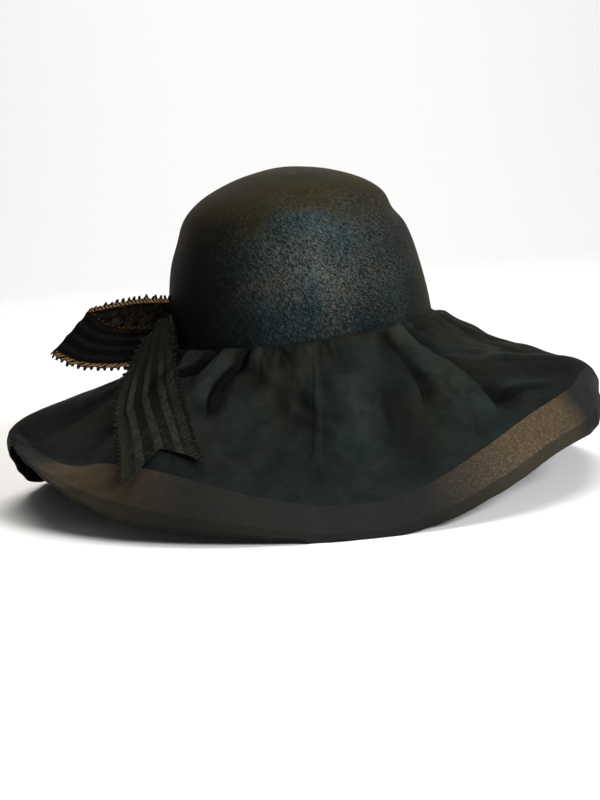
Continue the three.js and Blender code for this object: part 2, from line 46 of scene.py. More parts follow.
# Crown
CROWN_CENTRE_X = -0.0019  # where the crown's axis meets the seam's plane
HEAD_HALF_WIDTH = 0.0855
HEAD_HALF_DEPTH = 0.100
CROWN_HEIGHT = 0.1045
CROWN_TUCK = 0.004  # straw below the seam
CROWN_LEAN = 3.4  # degrees, to the bow's side
STRAW_WALL = 0.0016
DENT_DEPTH = 0.003
STRAW_TOP = 0.199  # height over which the straw's threads lie straight across
CROWN_COLUMNS = 240
CROWN_ROWS = 84

# Brim
SEAT_HEIGHT = 0.100
BRIM_HALF_WIDTH = 0.193
BRIM_HALF_DEPTH = 0.200
CLOTH_WALL = 0.001
HEM_WALL = 0.0018
CLEARANCE = 0.0003  # between pieces that lie on each other
FOLD_DEPTH = 0.008
GATHER_DEPTH = 0.0008
GATHER_COUNT = 30
GATHER_REACH = 0.16  # share of the brim over which the gathers die out
LEVEL_BELOW = 0.008  # height under which the cloth's thickness lies level
LEVEL_STRETCH = 0.4  # least level part of a normal that the thickness follows
INNER_HANDLE_RUN = 0.36
INNER_HANDLE_LEAN = 0.6
FOLD_SOFTNESS = 0.05  # share of the brim over which a fold begins
SEAM_RAMP = 0.05  # share of the brim over which the cloth leaves the seam
NORMAL_SHARE_STEP = 0.012
NORMAL_TURN_STEP = 0.8  # degrees
BRIM_ROWS = 60
ROW_CROWDING = 1.15  # over 1, rows lie closer near the seam
BAND_ROWS = 16
HEM_ROWS = 5
COARSE_STEP = 0.9  # degrees between columns
FINE_STEP = 0.32  # the same at the creased side
FINE_FROM = 200
FINE_TO = 345
HEM_SHARE = 0.74  # share of the sheer band at which the hem's inner edge lies
FLOOR_GAP = 0.0002  # cloth over the surface it rests on

# Fine detail of the brim
PUFF_HEIGHT = 0.0024  # of cloth that billows over the seam
PUFF_PEAK = 0.03  # share of the brim at which a puff is highest
PUFF_COUNT = 27
CRUMPLE_DEPTH = 0.0007
CRUMPLE_COUNT = 46
RELIEF_RANGE = 0.012  # height over its sides that shades a fold from dark to light
RELIEF_SIDES = (-8, -5.5, -3, 3, 5.5, 8)  # degrees
CREASE_SLANT = 50  # degrees per share of the brim that double a crease's width
CREASE_LINE = 0.45  # half width in degrees of the shaded line in a crease
CREASE_SHADE = 0.42  # how dark that line is
CREASE_FULL_STEP = 0.5  # step as a share of FOLD_DEPTH from which it is fully dark
CREASE_BLEND = 0.3  # degrees to each side of a crease's line over which it drops
CREASE_FADE = 0.05  # share of the brim over which a crease begins or ends
CREASE_START = 0.01
CREASE_RAMP = 0.03  # share of the brim over which creases leave the seam
WELT_HEIGHT = 0.0009
WELT_HALF_WIDTH = 0.95  # degrees
WELT_AZIMUTH = 275.0
WELT_DRIFT = 3.5  # degrees that the welt turns down to its split
WELT_SPLIT = 0.56  # share of the brim at which the welt parts in two creases
WELT_PARTING = 9  # degrees between the welt's line and each crease at the rim
WELT_SPREAD = 1.2
WELT_END = (0.68, 0.86)  # shares of the brim between which the creases die out

# Brim ripples: depth, count round the hat, seed, drift in turns, reach as a share of the brim.
RIPPLES = [(0.0006, 88, 1, 0, 0.10), (0.0006, 41, 4, 0.004, 0.28)]

# Bow
RIBBON_WIDTH = 0.042
LOOP_LENGTH = 0.075
TAIL_LENGTH = 0.110
TAIL_NOTCH = 0.018
TAIL_SLANT = 0.006  # how much further the tail's right corner reaches
TAIL_LIFT = 0.0008
LAYING_HEIGHT = 0.3  # height from which the tail is dropped on the brim
LAYING_PASSES = 60
KNOT_LENGTH = 0.020
KNOT_HEIGHT = 0.023
KNOT_DEPTH = 0.015
KNOT_RISE = 0.34  # its middle over the seam as a share of its height
KNOT_ROWS = 41
KNOT_COLUMNS = 96
KNOT_WRINKLE = 0.035  # shares of the knot's size
KNOT_CRUMPLE = 0.02
BOW_AZIMUTH = 203
BOW_HEADING = 180
TAIL_DRIFT = 5  # degrees that the tail's run turns from -Y
TAIL_START_OUT = 1.30
TAIL_START_SIDE = 0.66
LOOP_GRID = (121, 27)  # rows and columns
TAIL_GRID = (101, 29)
STRIPE_HEIGHT = 0.00018
RIBBON_PUCKER = 0.0005
PICOT_PITCH = 0.0043
PICOT_HALF_WIDTH = 0.0005
PICOT_HEIGHT = 0.0018
PICOT_THREAD = 0.00072  # radius
PICOT_SIGHT = 0.002  # how far ahead an edge's direction is taken
PICOT_BENDS = 8
PICOT_SIDES = 5

# Threads
STRAW_PITCH = 0.00055
STRAW_LEVEL = 0.0030  # lengths of the threads that lie level, upright and slanted
STRAW_UPRIGHT = 0.0026
STRAW_SLANTED = 0.0046
ORGANZA_PITCH = 0.0009
LINING_PITCH = 0.0011
HATCH_LENGTH = 0.0032
HATCH_TURN = 0.3  # radians
THREAD_PITCH = 0.0030  # threads across the ribbon's sheer edges
RIB_PITCH = 0.0014

# Ribbon stripes as shares of its width
STRIPES = (0.25, 0.50, 0.75)
STRIPE_HALF_WIDTH = 0.045
STRIPE_BLUR = 0.015
SELVAGE = 0.012
SELVAGE_BLUR = 0.01
SHEER_BLUR = 0.02

# Crown outline: height as a share of the crown's, width as a share of the half widths.
CROWN_OUTLINE = np.array([
    (0.00, 1.000), (0.15, 0.986), (0.31, 0.958), (0.46, 0.922), (0.60, 0.868),
    (0.72, 0.800), (0.80, 0.722), (0.87, 0.605), (0.93, 0.442), (0.975, 0.250),
])

# Crown dents: azimuth, height share, spread in degrees, tall share, depth share.
CROWN_DENTS = [
    (284, 0.80, 24, 0.10, 0.7),
    (352, 0.68, 20, 0.07, 1.0),
    (190, 0.62, 18, 0.09, 0.4),
]

# Brim sections: azimuth, rim's reach, heights of the inner and the outer handle, the
# outer handle's share of the run, the rim's height, and the share that the opaque
# layer covers. Heights are shares of SEAT_HEIGHT.
BRIM_SECTIONS = np.array([
    (8, 0.99, 0.69, 0.88, 1.00, 0.22, 0.78),
    (22, 0.99, 0.70, 0.79, 0.96, 0.04, 0.78),
    (36, 0.99, 0.72, 0.62, 0.88, -0.02, 0.78),
    (52, 1.00, 0.74, 0.54, 0.80, 0.00, 0.78),
    (75, 1.00, 0.75, 0.50, 0.74, 0.10, 0.78),
    (100, 1.00, 0.75, 0.48, 0.72, 0.12, 0.78),
    (125, 1.00, 0.73, 0.50, 0.76, 0.04, 0.78),
    (145, 0.99, 0.71, 0.56, 0.86, -0.02, 0.78),
    (160, 0.98, 0.68, 0.61, 0.98, 0.01, 0.78),
    (172, 0.98, 0.64, 0.66, 1.05, 0.06, 0.78),
    (182, 0.99, 0.61, 0.74, 1.09, 0.21, 0.78),
    (191, 1.00, 0.60, 0.69, 1.06, 0.41, 0.80),
    (201, 0.99, 0.63, 0.42, 0.92, 0.43, 0.82),
    (213, 1.00, 0.65, 0.36, 0.80, 0.36, 0.81),
    (225, 1.00, 0.66, 0.54, 0.74, 0.225, 0.78),
    (237, 1.00, 0.67, 0.62, 0.72, 0.13, 0.78),
    (249, 1.00, 0.67, 0.49, 0.70, 0.085, 0.78),
    (260, 1.00, 0.67, 0.32, 0.68, 0.055, 0.79),
    (278, 1.00, 0.67, 0.22, 0.66, -0.02, 0.80),
    (292, 1.00, 0.69, 0.29, 0.68, 0.055, 0.79),
    (305, 1.00, 0.74, 0.47, 0.72, 0.175, 0.78),
    (318, 1.00, 0.76, 0.65, 0.80, 0.295, 0.77),
    (332, 1.00, 0.75, 0.78, 0.90, 0.335, 0.76),
    (347, 0.985, 0.71, 0.87, 0.98, 0.38, 0.76),
])

# Brim folds: azimuth at the seam, drift in degrees to the rim, the shares of the brim
# between which it shows, half width in degrees, height as a share of FOLD_DEPTH.
BRIM_FOLDS = [
    (213, 6, 0.00, 0.38, 4.5, -0.55),
    (222, 4, 0.00, 0.32, 4.5, 0.40),
    (203, 4, 0.32, 0.80, 5.0, 0.35),
    (209, 12, 0.48, 0.84, 5.0, -0.35),
    (238, 2, 0.02, 0.42, 4.5, 0.45),
    (245, -4, 0.00, 0.48, 4.0, -0.25),
    (252, 2, 0.08, 0.30, 4.0, -0.35),
    (261, -2, 0.00, 0.16, 3.0, -0.20),
    (280, 0, 0.00, 0.18, 3.8, -0.30),
    (279, -1, 0.24, 0.62, 6.0, 0.45),
    (286, -4, 0.20, 0.56, 7.5, 0.65),
    (295, -5, 0.32, 0.78, 6.0, -0.45),
    (300, -16, 0.06, 0.52, 4.2, -0.15),
    (303, -4, 0.00, 0.50, 3.2, -0.20),
    (308, 3, 0.00, 0.70, 4.8, 0.30),
    (317, 0, 0.02, 0.28, 5.0, -0.55),
    (316, 2, 0.54, 0.72, 3.6, -0.60),
    (304, 62, 0.38, 0.92, 5.5, 0.50),
    (316, 62, 0.38, 0.95, 6.0, -0.55),
    (341, 4, 0.20, 0.50, 6.0, -0.30),
    (352, 8, 0.00, 0.28, 7.0, 0.45),
    (8, -2, 0.24, 0.62, 9.0, -0.40),
    (24, 2, 0.00, 0.55, 5.5, 0.35),
    (44, 3, 0.00, 0.60, 6.0, -0.40),
    (66, -3, 0.00, 0.50, 6.0, 0.40),
    (88, 2, 0.00, 0.62, 6.0, -0.40),
    (108, -2, 0.00, 0.50, 6.5, 0.40),
    (130, 3, 0.00, 0.60, 6.0, -0.40),
    (152, 2, 0.00, 0.55, 6.0, 0.35),
    (172, -2, 0.00, 0.40, 5.0, -0.35),
]

# Brim creases: three points of a line as azimuth and share of the brim, half width in
# degrees, and the heights just before and after the line as shares of FOLD_DEPTH.
BRIM_CREASES = [
    ([(233.0, 0.010), (229.5, 0.105), (222.0, 0.180)], 4.5, 0.36, -0.46),
    ([(247.5, 0.012), (242.8, 0.170), (244.0, 0.400)], 3.2, 0.26, -0.34),
    ([(247.5, 0.100), (256.5, 0.185), (266.0, 0.430)], 4.5, -0.24, -0.24),
    ([(254.5, 0.010), (255.5, 0.060), (256.5, 0.110)], 1.4, 0.06, -0.12),
    ([(260.5, 0.015), (263.0, 0.060), (265.5, 0.120)], 1.8, 0.10, -0.14),
    ([(278.0, 0.010), (279.5, 0.060), (280.0, 0.110)], 1.6, 0.06, -0.10),
    ([(300.0, 0.010), (302.6, 0.240), (300.5, 0.440)], 3.0, 0.18, -0.26),
    ([(310.5, 0.020), (313.5, 0.250), (313.0, 0.640)], 3.6, 0.26, -0.30),
    ([(327.5, 0.465), (334.5, 0.555), (340.0, 0.655)], 5.0, 0.20, -0.16),
    ([(316.0, 0.550), (321.0, 0.615), (327.0, 0.672)], 4.0, -0.10, 0.34),
    ([(318.0, 0.010), (321.0, 0.070), (323.0, 0.150)], 2.4, 0.12, -0.22),
    ([(329.0, 0.010), (331.0, 0.090), (332.0, 0.200)], 2.6, 0.08, -0.12),
]

# Bow loop, from the knot out along the front layer, round the fold and back: out as a
# share of LOOP_LENGTH, side and up as shares of RIBBON_WIDTH, first for the ribbon's
# lower edge and then for its upper edge.
LOOP_STATIONS = np.array([
    (0.05, 0.04, -0.10, 0.05, -0.02, 0.12),
    (0.22, 0.20, -0.34, 0.22, -0.22, 0.13),
    (0.42, 0.24, -0.38, 0.37, -0.48, 0.13),
    (0.71, 0.18, -0.33, 0.53, -0.62, 0.20),
    (0.89, 0.06, -0.20, 0.63, -0.76, 0.34),
    (0.95, -0.12, -0.12, 0.67, -0.92, 0.42),
    (0.85, -0.34, -0.12, 0.60, -1.08, 0.45),
    (0.58, -0.50, -0.12, 0.42, -1.10, 0.50),
    (0.32, -0.46, -0.08, 0.20, -0.90, 0.54),
    (-0.02, -0.30, -0.02, -0.08, -0.42, 0.54),
])

# Bow tail: run as a share of TAIL_LENGTH, its two edges and its lift off the brim as
# shares of RIBBON_WIDTH.
TAIL_STATIONS = np.array([
    (0.00, -0.10, 0.27, 0.62),
    (0.05, -0.38, 0.29, 0.34),
    (0.12, -0.55, 0.29, 0.12),
    (0.24, -0.62, 0.28, 0.03),
    (0.42, -0.59, 0.31, 0.00),
    (0.60, -0.57, 0.35, 0.00),
    (0.80, -0.55, 0.43, 0.00),
    (1.00, -0.57, 0.55, 0.00),
])

# Ribbon looks: where the sheer edge ends and where the painted shade over the ribbon's start
# begins to fade, as shares of the width and of 0.1 m, how far the sheer edge is closed, the tint
# of the light through it, and linear colours.
TAIL_LOOK = dict(
    edge=0.13, painted_shade_fades_from=0.2, veil=0.96, tint=(0.3, 0.3, 0.25),
    black=(0.006, 0.0066, 0.005), sheer=(0.0085, 0.0092, 0.0065),
    thread=(0.024, 0.026, 0.019), satin=(0.028, 0.028, 0.025), far_color=(0.014, 0.015, 0.012))
LOOP_LOOK = dict(
    edge=0.085, painted_shade_fades_from=-0.3, veil=0.5, tint=(0.34, 0.205, 0.095),
    black=(0.001, 0.001, 0.001), sheer=(0.02, 0.011, 0.004),
    thread=(0.003, 0.002, 0.001), satin=(0.0045, 0.0045, 0.0045),
    far_color=(0.015, 0.011, 0.004))

# Studio lights: name, place, target, size, power, colour.
LIGHTS = [
    ("key", (0.95, -1.35, 0.8), (0, 0, 0.13), (0.6, 0.45), 39, (0.97, 0.99, 1)),
    ("top", (0.1, 0.2, 1.9), (0, 0, 0.1), (1.6, 1.6), 31, (1, 0.96, 0.9)),
    ("left_edge", (-0.9, 1.3, 0.3), (0, 0, 0.14), (0.3, 0.5), 0.25, (1, 0.5, 0.18)),
    ("backdrop", (0, 1.6, 2.6), (0, 3.2, 0.6), (3.0, 1.0), 62, (1, 1, 1)),
]

# Studio room
WORLD_STRENGTH = 0.08
FLOOR_FRONT = -4.0
FLOOR_BACK = 2.4
FLOOR_HALF_WIDTH = 6.0
BACKDROP_BEND = 1.2
BACKDROP_TOP = 6.0

# Camera
VIEW_ELEVATION = 5
VIEW_ROLL = 4
VIEW_DISTANCE = 1.1
FOCAL_PIXELS = 1690
IMAGE_WIDTH = 600
IMAGE_HEIGHT = 800
AIM_PIXEL = (301, 327)  # where the seam's middle stands in the image


# Smooth curves and surfaces

def smoothstep(value, low, high):
    t = np.clip((value - low) / (high - low), 0, 1)
    return t * t * (3 - 2 * t)


def cubic(t, start, handle1, handle2, end):
    s = 1 - t
    return s ** 3 * start + 3 * s * s * t * handle1 + 3 * s * t * t * handle2 + t ** 3 * end


def along_rows(rows, u):
    """A smooth curve through the rows of an open table, u from 0 to 1."""
    last = len(rows) - 1
    place = np.clip(u, 0, 1) * last
    index = np.minimum(place.astype(int), last - 1)
    t = (place - index)[..., None]
    a, b, c, d = (rows[np.clip(index + offset, 0, last)] for offset in (-1, 0, 1, 2))
    return 0.5 * (
        2 * b + (c - a) * t + (2 * a - 5 * b + 4 * c - d) * t ** 2
        + (3 * b - a - 3 * c + d) * t ** 3)


def wander(value, count, seed):
    """An irregular ripple between about -1 and 1 that repeats after one unit of value."""
    total = np.zeros_like(value, dtype=float)
    for step, share in ((-0.31, 0.30), (-0.12, 0.35), (0.0, 0.40), (0.17, 0.35), (0.38, 0.25)):
        waves = max(round(count * (1 + step)), 1)
        total += share * np.cos(math.tau * (waves * value + 0.618 * waves * seed))
    return total


def surface_normals(points, wrapped):
    """Unit normals of a grid of points, from its neighbours along rows and columns."""
    along = np.gradient(points, axis=0)
    if wrapped:
        across = np.roll(points, -1, axis=1) - np.roll(points, 1, axis=1)
    else:
        across = np.gradient(points, axis=1)
    normal = np.cross(along, across)
    return normal / np.maximum(np.linalg.norm(normal, axis=-1, keepdims=True), 1e-12)


def new_object(name, data):
    made = bpy.data.objects.new(name, data)
    bpy.context.scene.collection.objects.link(made)
    return made


def mesh_object(name, vertices, faces, maps):
    """A smooth mesh with UV maps by name, each with a pair for every face's corner."""
    mesh = bpy.data.meshes.new(name)
    mesh.from_pydata(vertices, [], faces)
    for map_name, values in maps.items():
        mesh.uv_layers.new(name=map_name).data.foreach_set("uv", np.array(values).ravel())
    mesh.polygons.foreach_set("use_smooth", [True] * len(mesh.polygons))
    return new_object(name, mesh)


def grid_object(name, points, uv, wrapped=False, caps=(), flip=False, more_maps=()):
    """A mesh over a grid of points, closed round its columns when wrapped and with a cap
    point past its first and last row where caps has them. uv and more_maps, pairs of a
    name and more UVs, have a column more than a wrapped grid."""
    rows, columns = points.shape[:2]
    spans = columns if wrapped else columns - 1
    r, c = np.meshgrid(np.arange(rows - 1), np.arange(spans), indexing="ij")
    corner, following = r * columns + c, r * columns + (c + 1) % columns
    corners = [corner, corner + columns, following + columns, following]
    order = slice(None, None, -1) if flip else slice(None)
    faces = np.stack(corners[order], -1).reshape(-1, 4).tolist()

    def corner_values(values):
        left, right = values[:, :spans], values[:, 1:spans + 1]
        parts = [left[:-1], left[1:], right[1:], right[:-1]]
        return np.stack(parts[order], 2).reshape(-1, 2).tolist()

    maps = {"weave": corner_values(uv)}
    for map_name, values in more_maps:
        maps[map_name] = corner_values(values)
    vertices = points.reshape(-1, 3).tolist()
    for row, cap in zip((0, rows - 1), caps):
        vertices.append(list(cap))
        forwards = (row == 0) != flip
        for column in range(spans):
            ring = [row * columns + column, row * columns + (column + 1) % columns]
            faces.append([*(ring if forwards else ring[::-1]), len(vertices) - 1])
            maps["weave"].extend([uv[row, column].tolist()] * 3)
    return mesh_object(name, vertices, faces, maps)


def lengths_along(points):
    """Distances along the rows of a grid, from its first row."""
    steps = np.linalg.norm(np.diff(points, axis=0), axis=-1)
    return np.concatenate([np.zeros((1, points.shape[1])), np.cumsum(steps, axis=0)])


# Crown

def crown_point(azimuth, height, width):
    """A point of the crown's outside, by azimuth and height over the seam on its axis."""
    angle = np.radians(azimuth)
    x = HEAD_HALF_WIDTH * width * np.cos(angle)
    y = HEAD_HALF_DEPTH * width * np.sin(angle)
    lean = math.radians(CROWN_LEAN)
    x, y, height = np.broadcast_arrays(x, y, height)
    return np.stack([
        CROWN_CENTRE_X + x * math.cos(lean) - height * math.sin(lean),
        y,
        SEAT_HEIGHT + x * math.sin(lean) + height * math.cos(lean),
    ], -1)


def crown_dent(azimuth, height_share):
    """How far the crown is pushed in."""
    depth = 0
    for at, height, spread, tall, share in CROWN_DENTS:
        across = (np.mod(azimuth - at + 180, 360) - 180) / spread
        along = (height_share - height) / tall
        depth = depth + share * DENT_DEPTH * np.exp(-across ** 2 - along ** 2)
    return depth


def crown_object():
    """The straw shell, open below, with its outline mirrored past the tip to end level."""
    mirrored = CROWN_OUTLINE[-1] * (1, -1)
    outline = np.vstack([CROWN_OUTLINE, (1.0, 0.0), mirrored])
    top = (len(outline) - 2) / (len(outline) - 1)
    profile = along_rows(outline, np.linspace(0, top, CROWN_ROWS + 1)[:-1])
    profile = np.vstack([(-CROWN_TUCK / CROWN_HEIGHT, 1.0), profile])
    height, width = profile[:, :1], profile[:, 1:]
    azimuth = np.arange(CROWN_COLUMNS)[None, :] * 360 / CROWN_COLUMNS
    points = crown_point(azimuth, height * CROWN_HEIGHT, width)
    normal = -surface_normals(points, wrapped=True)
    points = points - normal * crown_dent(azimuth, height)[..., None]
    normal = -surface_normals(points, wrapped=True)
    inner = points - normal * STRAW_WALL
    shell = np.concatenate([inner[::-1], points])
    run = lengths_along(points)[:, :1]
    run = np.concatenate([run[::-1], run])
    round_share = np.arange(CROWN_COLUMNS + 1) / CROWN_COLUMNS
    girth = math.pi * (HEAD_HALF_WIDTH + HEAD_HALF_DEPTH)
    uv = np.stack(np.broadcast_arrays(round_share * girth, run), -1)
    tips = (inner[-1].mean(axis=0), points[-1].mean(axis=0))
    return grid_object("crown_straw", shell, uv, wrapped=True, caps=tips, flip=True)


# Brim

def section_at(azimuth):
    """The brim's section values at azimuths, smooth round the hat."""
    count = len(BRIM_SECTIONS)
    at = BRIM_SECTIONS[:, 0]
    turn = np.mod(azimuth, 360)
    following = np.searchsorted(at, turn, side="right")

    def spot(index):
        return BRIM_SECTIONS[index % count, 1:], at[index % count] + 360 * (index // count)

    (before, before_at), (start, start_at) = spot(following - 2), spot(following - 1)
    (end, end_at), (after, after_at) = spot(following), spot(following + 1)
    span = end_at - start_at
    u = ((turn - start_at) / span)[..., None]
    slope_start = (end - before) * (span / (end_at - before_at))[..., None]
    slope_end = (after - start) * (span / (after_at - start_at))[..., None]
    values = (
        (2 * u ** 3 - 3 * u ** 2 + 1) * start + (u ** 3 - 2 * u ** 2 + u) * slope_start
        + (3 * u ** 2 - 2 * u ** 3) * end + (u ** 3 - u ** 2) * slope_end)
    return np.moveaxis(values, -1, 0)


def fold_height(azimuth, share):
    """Height of the folds and gathers over the smooth brim."""
    total = np.zeros_like(azimuth)
    for at, drift, start, end, spread, height in BRIM_FOLDS:
        across = (np.mod(azimuth - at - drift * share + 180, 360) - 180) / spread
        begin = smoothstep(share, start - FOLD_SOFTNESS, start + FOLD_SOFTNESS) if start else 1
        fade = 1 - smoothstep(share, end - 2 * FOLD_SOFTNESS, end + FOLD_SOFTNESS)
        total += height * FOLD_DEPTH * np.exp(-across ** 2) * begin * fade
    ripple = 0.5 - 0.5 * np.cos(np.radians(azimuth) * GATHER_COUNT)
    total += GATHER_DEPTH * ripple * np.exp(-(share / GATHER_REACH) ** 2)
    return total * smoothstep(share, 0, SEAM_RAMP)


def creases_at(azimuth, share):
    """Each crease's distance in degrees, how much wider it is for its slant, how fully it
    shows, and its row's other values."""
    for line, spread, before, after in BRIM_CREASES:
        places, shares = np.array(line).T
        reach = np.clip(share, shares[0], shares[-1])
        across = azimuth - np.polyval(np.polyfit(shares, places, 2), reach)
        slant = abs(places[-1] - places[0]) / (shares[-1] - shares[0])
        fade = smoothstep(share, shares[0] - CREASE_FADE, shares[0] + CREASE_START) * (
            1 - smoothstep(share, shares[-1] - CREASE_FADE, shares[-1] + CREASE_FADE))
        yield across, 1 + (slant / CREASE_SLANT) ** 2, fade, spread, before, after


def crease_height(azimuth, share):
    """Height of the creases, which step from one side of their line to the other."""
    total = np.zeros_like(azimuth)
    for across, wider, fade, spread, before, after in creases_at(azimuth, share):
        side = smoothstep(across, -CREASE_BLEND * wider, CREASE_BLEND * wider)
        height = (before + (after - before) * side) * np.exp(-(across / spread) ** 2)
        total += FOLD_DEPTH * height * fade
    return total * smoothstep(share, 0, CREASE_RAMP)


def crease_shade(azimuth, share):
    """The shaded line along each crease, deeper where the cloth steps down more."""
    total = np.zeros_like(azimuth)
    for across, wider, fade, _, before, after in creases_at(azimuth, share):
        step = min(abs(before - after) / CREASE_FULL_STEP, 1)
        line = np.exp(-(across / CREASE_LINE / wider) ** 2)
        total = np.maximum(total, CREASE_SHADE * step * fade * line)
    return total


def welt_height(azimuth, share):
    """The centre seam's flat welt, which parts in two soft creases towards the rim."""
    middle = WELT_AZIMUTH - WELT_DRIFT * share / WELT_SPLIT
    parting = np.maximum(share - WELT_SPLIT, 0) / (1 - WELT_SPLIT)
    total = 0
    for side in (-1, 1):
        line = middle + side * WELT_PARTING * parting
        across = (azimuth - line) / (WELT_HALF_WIDTH * (1 + WELT_SPREAD * parting))
        total = total + 0.5 * np.exp(-across ** 6)
    return WELT_HEIGHT * total * (1 - smoothstep(share, *WELT_END))


def fine_height(azimuth, share):
    """Puffs and puckers at the seam, soft crumples, and the centre seam's welt."""
    turn = np.mod(azimuth, 360) / 360
    puff = np.clip(0.45 + 0.6 * wander(turn, PUFF_COUNT, 6), 0, 1.2) * share / PUFF_PEAK
    puff = PUFF_HEIGHT * puff * np.exp(1 - share / PUFF_PEAK)
    ripples = sum(
        depth * wander(turn + drift * share, count, seed) * np.exp(-(share / reach) ** 2)
        for depth, count, seed, drift, reach in RIPPLES)
    crumple = wander(turn + 0.02 * np.sin(7 * share), CRUMPLE_COUNT, 2) * wander(share, 3, 3)
    crumple = CRUMPLE_DEPTH * crumple * smoothstep(share, 0.05, 0.3)
    creases = crease_height(np.mod(azimuth, 360), share) + welt_height(azimuth, share)
    return puff + ripples * smoothstep(share, 0, SEAM_RAMP) + crumple + creases


def smooth_brim_point(azimuth, share):
    """A point of the brim without its folds, by azimuth and share from seam to rim."""
    reach, near, far, tuck, rim, _ = section_at(azimuth)
    angle = np.radians(azimuth)
    seam = crown_point(azimuth, 0, 1)
    seam_x = seam[..., 0] - CROWN_CENTRE_X + CLEARANCE * np.cos(angle)
    seam_y = seam[..., 1] + CLEARANCE * np.sin(angle)
    run = cubic(share, 0, INNER_HANDLE_RUN, tuck, 1)
    lean = math.tan(math.radians(CROWN_LEAN))
    near_height = SEAT_HEIGHT * near + lean * seam_x * INNER_HANDLE_LEAN
    rim_height = SEAT_HEIGHT * np.maximum(rim, 0)
    return np.stack([
        CROWN_CENTRE_X + seam_x + (BRIM_HALF_WIDTH * reach * np.cos(angle) - seam_x) * run,
        seam_y + (BRIM_HALF_DEPTH * reach * np.sin(angle) - seam_y) * run,
        cubic(share, seam[..., 2], near_height, SEAT_HEIGHT * far, rim_height),
    ], -1)


def normals_of(surface, azimuth, share):
    """Unit normals of a surface that azimuth and share describe."""
    further = np.minimum(share + NORMAL_SHARE_STEP, 1)
    nearer = np.maximum(share - NORMAL_SHARE_STEP, 0)
    along = surface(azimuth, further) - surface(azimuth, nearer)
    across = surface(azimuth + NORMAL_TURN_STEP, share) - surface(azimuth - NORMAL_TURN_STEP, share)
    normal = np.cross(along, across)
    return normal / np.linalg.norm(normal, axis=-1, keepdims=True)


def brim_point(azimuth, share):
    normal = normals_of(smooth_brim_point, azimuth, share)
    return smooth_brim_point(azimuth, share) + normal * fold_height(azimuth, share)[..., None]


def layer_points(azimuth, share, depth):
    """Points at a depth below the brim's outside, with the cloth's fine folds."""
    normal = normals_of(brim_point, azimuth, share)
    points = brim_point(azimuth, share)
    square = normal * -depth
    level = normal * (1, 1, 0)
    length = np.linalg.norm(level, axis=-1, keepdims=True)
    level = level / np.maximum(length, 1e-9) * -depth / np.maximum(length, LEVEL_STRETCH)
    high = smoothstep(points[..., 2:], 0, LEVEL_BELOW)
    low_rim = level * (1 - high) + square * high
    points = points + np.where(share[..., None] < 1, square, low_rim)
    points = points + normal * fine_height(azimuth, share)[..., None]
    points[..., 2] = np.maximum(points[..., 2], FLOOR_GAP)
    return points


def brim_azimuths():
    """Columns round the brim, denser on the seam side with its creases."""
    far_side = np.arange(0, FINE_FROM, COARSE_STEP)
    seam_side = np.arange(FINE_FROM, FINE_TO, FINE_STEP)
    rest = np.arange(FINE_TO, 360, COARSE_STEP)
    return np.concatenate([far_side, seam_side, rest])


def opaque_rows():
    return np.linspace(0, 1, BRIM_ROWS)[:, None] ** ROW_CROWDING


def brim_grid(shares, azimuth, depth):
    """A cloth layer's points, in rows at the shares that shares works out."""
    share, turn = np.broadcast_arrays(shares(section_at(azimuth)[5]), azimuth)
    return layer_points(turn.astype(float), share.astype(float), depth)


def brim_relief(shares, azimuth):
    """How far the cloth stands over the cloth beside it, less the creases' shaded lines, from 0 to
    1; the organza paints shade from it.
    """
    share, turn = np.broadcast_arrays(shares(section_at(azimuth)[5]), azimuth)
    share = share.astype(float)

    def height(offset):
        return fold_height(turn + offset, share) + fine_height(turn + offset, share)

    beside = np.mean([height(offset) for offset in RELIEF_SIDES], axis=0)
    shade = crease_shade(np.mod(turn, 360), share)
    relief = np.clip(0.5 + (height(0) - beside) / RELIEF_RANGE - shade, 0, 1)
    return np.concatenate([relief, relief[:, :1]], axis=1)


def brim_uv(points, azimuth):
    """UVs in metres: round the rim, and out from the seam."""
    run = lengths_along(points)
    run = np.concatenate([run, run[:, :1]], axis=1)
    girth = math.pi * (BRIM_HALF_WIDTH + BRIM_HALF_DEPTH)
    turn = np.append(azimuth, 360) / 360 * girth
    return np.stack(np.broadcast_arrays(turn, run), -1)


def outer_layer_object():
    """The organza from seam to rim and back under its hem."""
    azimuth = brim_azimuths()
    opaque = opaque_rows()
    band = np.linspace(0, 1, BAND_ROWS)[1:, None]
    hem = np.linspace(1, HEM_SHARE, HEM_ROWS)[:, None]

    def shares_out(under):
        return np.vstack([opaque * under, under + band * (1 - under)])

    def shares_back(under):
        return under + hem * (1 - under)

    outside = brim_grid(shares_out, azimuth, 0)
    turned_under = brim_grid(shares_back, azimuth, HEM_WALL)
    points = np.concatenate([outside, turned_under])
    outward = np.vstack([opaque, 1 + band, 1 + hem])
    place = np.stack(np.broadcast_arrays(np.append(azimuth, 360) / 360, outward), -1)
    relief = np.vstack([brim_relief(shares_out, azimuth), brim_relief(shares_back, azimuth)])
    more_maps = [("place", place), ("relief", np.stack([relief, relief], -1))]
    uv = brim_uv(points, azimuth)
    return grid_object("brim_organza", points, uv, wrapped=True, more_maps=more_maps)


def inner_layer_object():
    azimuth = brim_azimuths()
    opaque = opaque_rows()
    points = brim_grid(lambda under: opaque * under, azimuth, CLOTH_WALL + CLEARANCE)
    return grid_object("brim_lining", points, brim_uv(points, azimuth), wrapped=True)


# Bow

def knot_frame():
    """The knot's centre and its directions out from the crown and along the seam."""
    angle = math.radians(BOW_AZIMUTH)
    out = np.array([HEAD_HALF_DEPTH * math.cos(angle), HEAD_HALF_WIDTH * math.sin(angle), 0])
    out = out / np.linalg.norm(out)
    side = np.array([-out[1], out[0], 0])
    seat = KNOT_RISE * KNOT_HEIGHT
    width = np.interp(seat / CROWN_HEIGHT, CROWN_OUTLINE[:, 0], CROWN_OUTLINE[:, 1])
    centre = crown_point(np.array(float(BOW_AZIMUTH)), seat, width)
    return centre + out * (KNOT_DEPTH / 2 + CLEARANCE), out, side


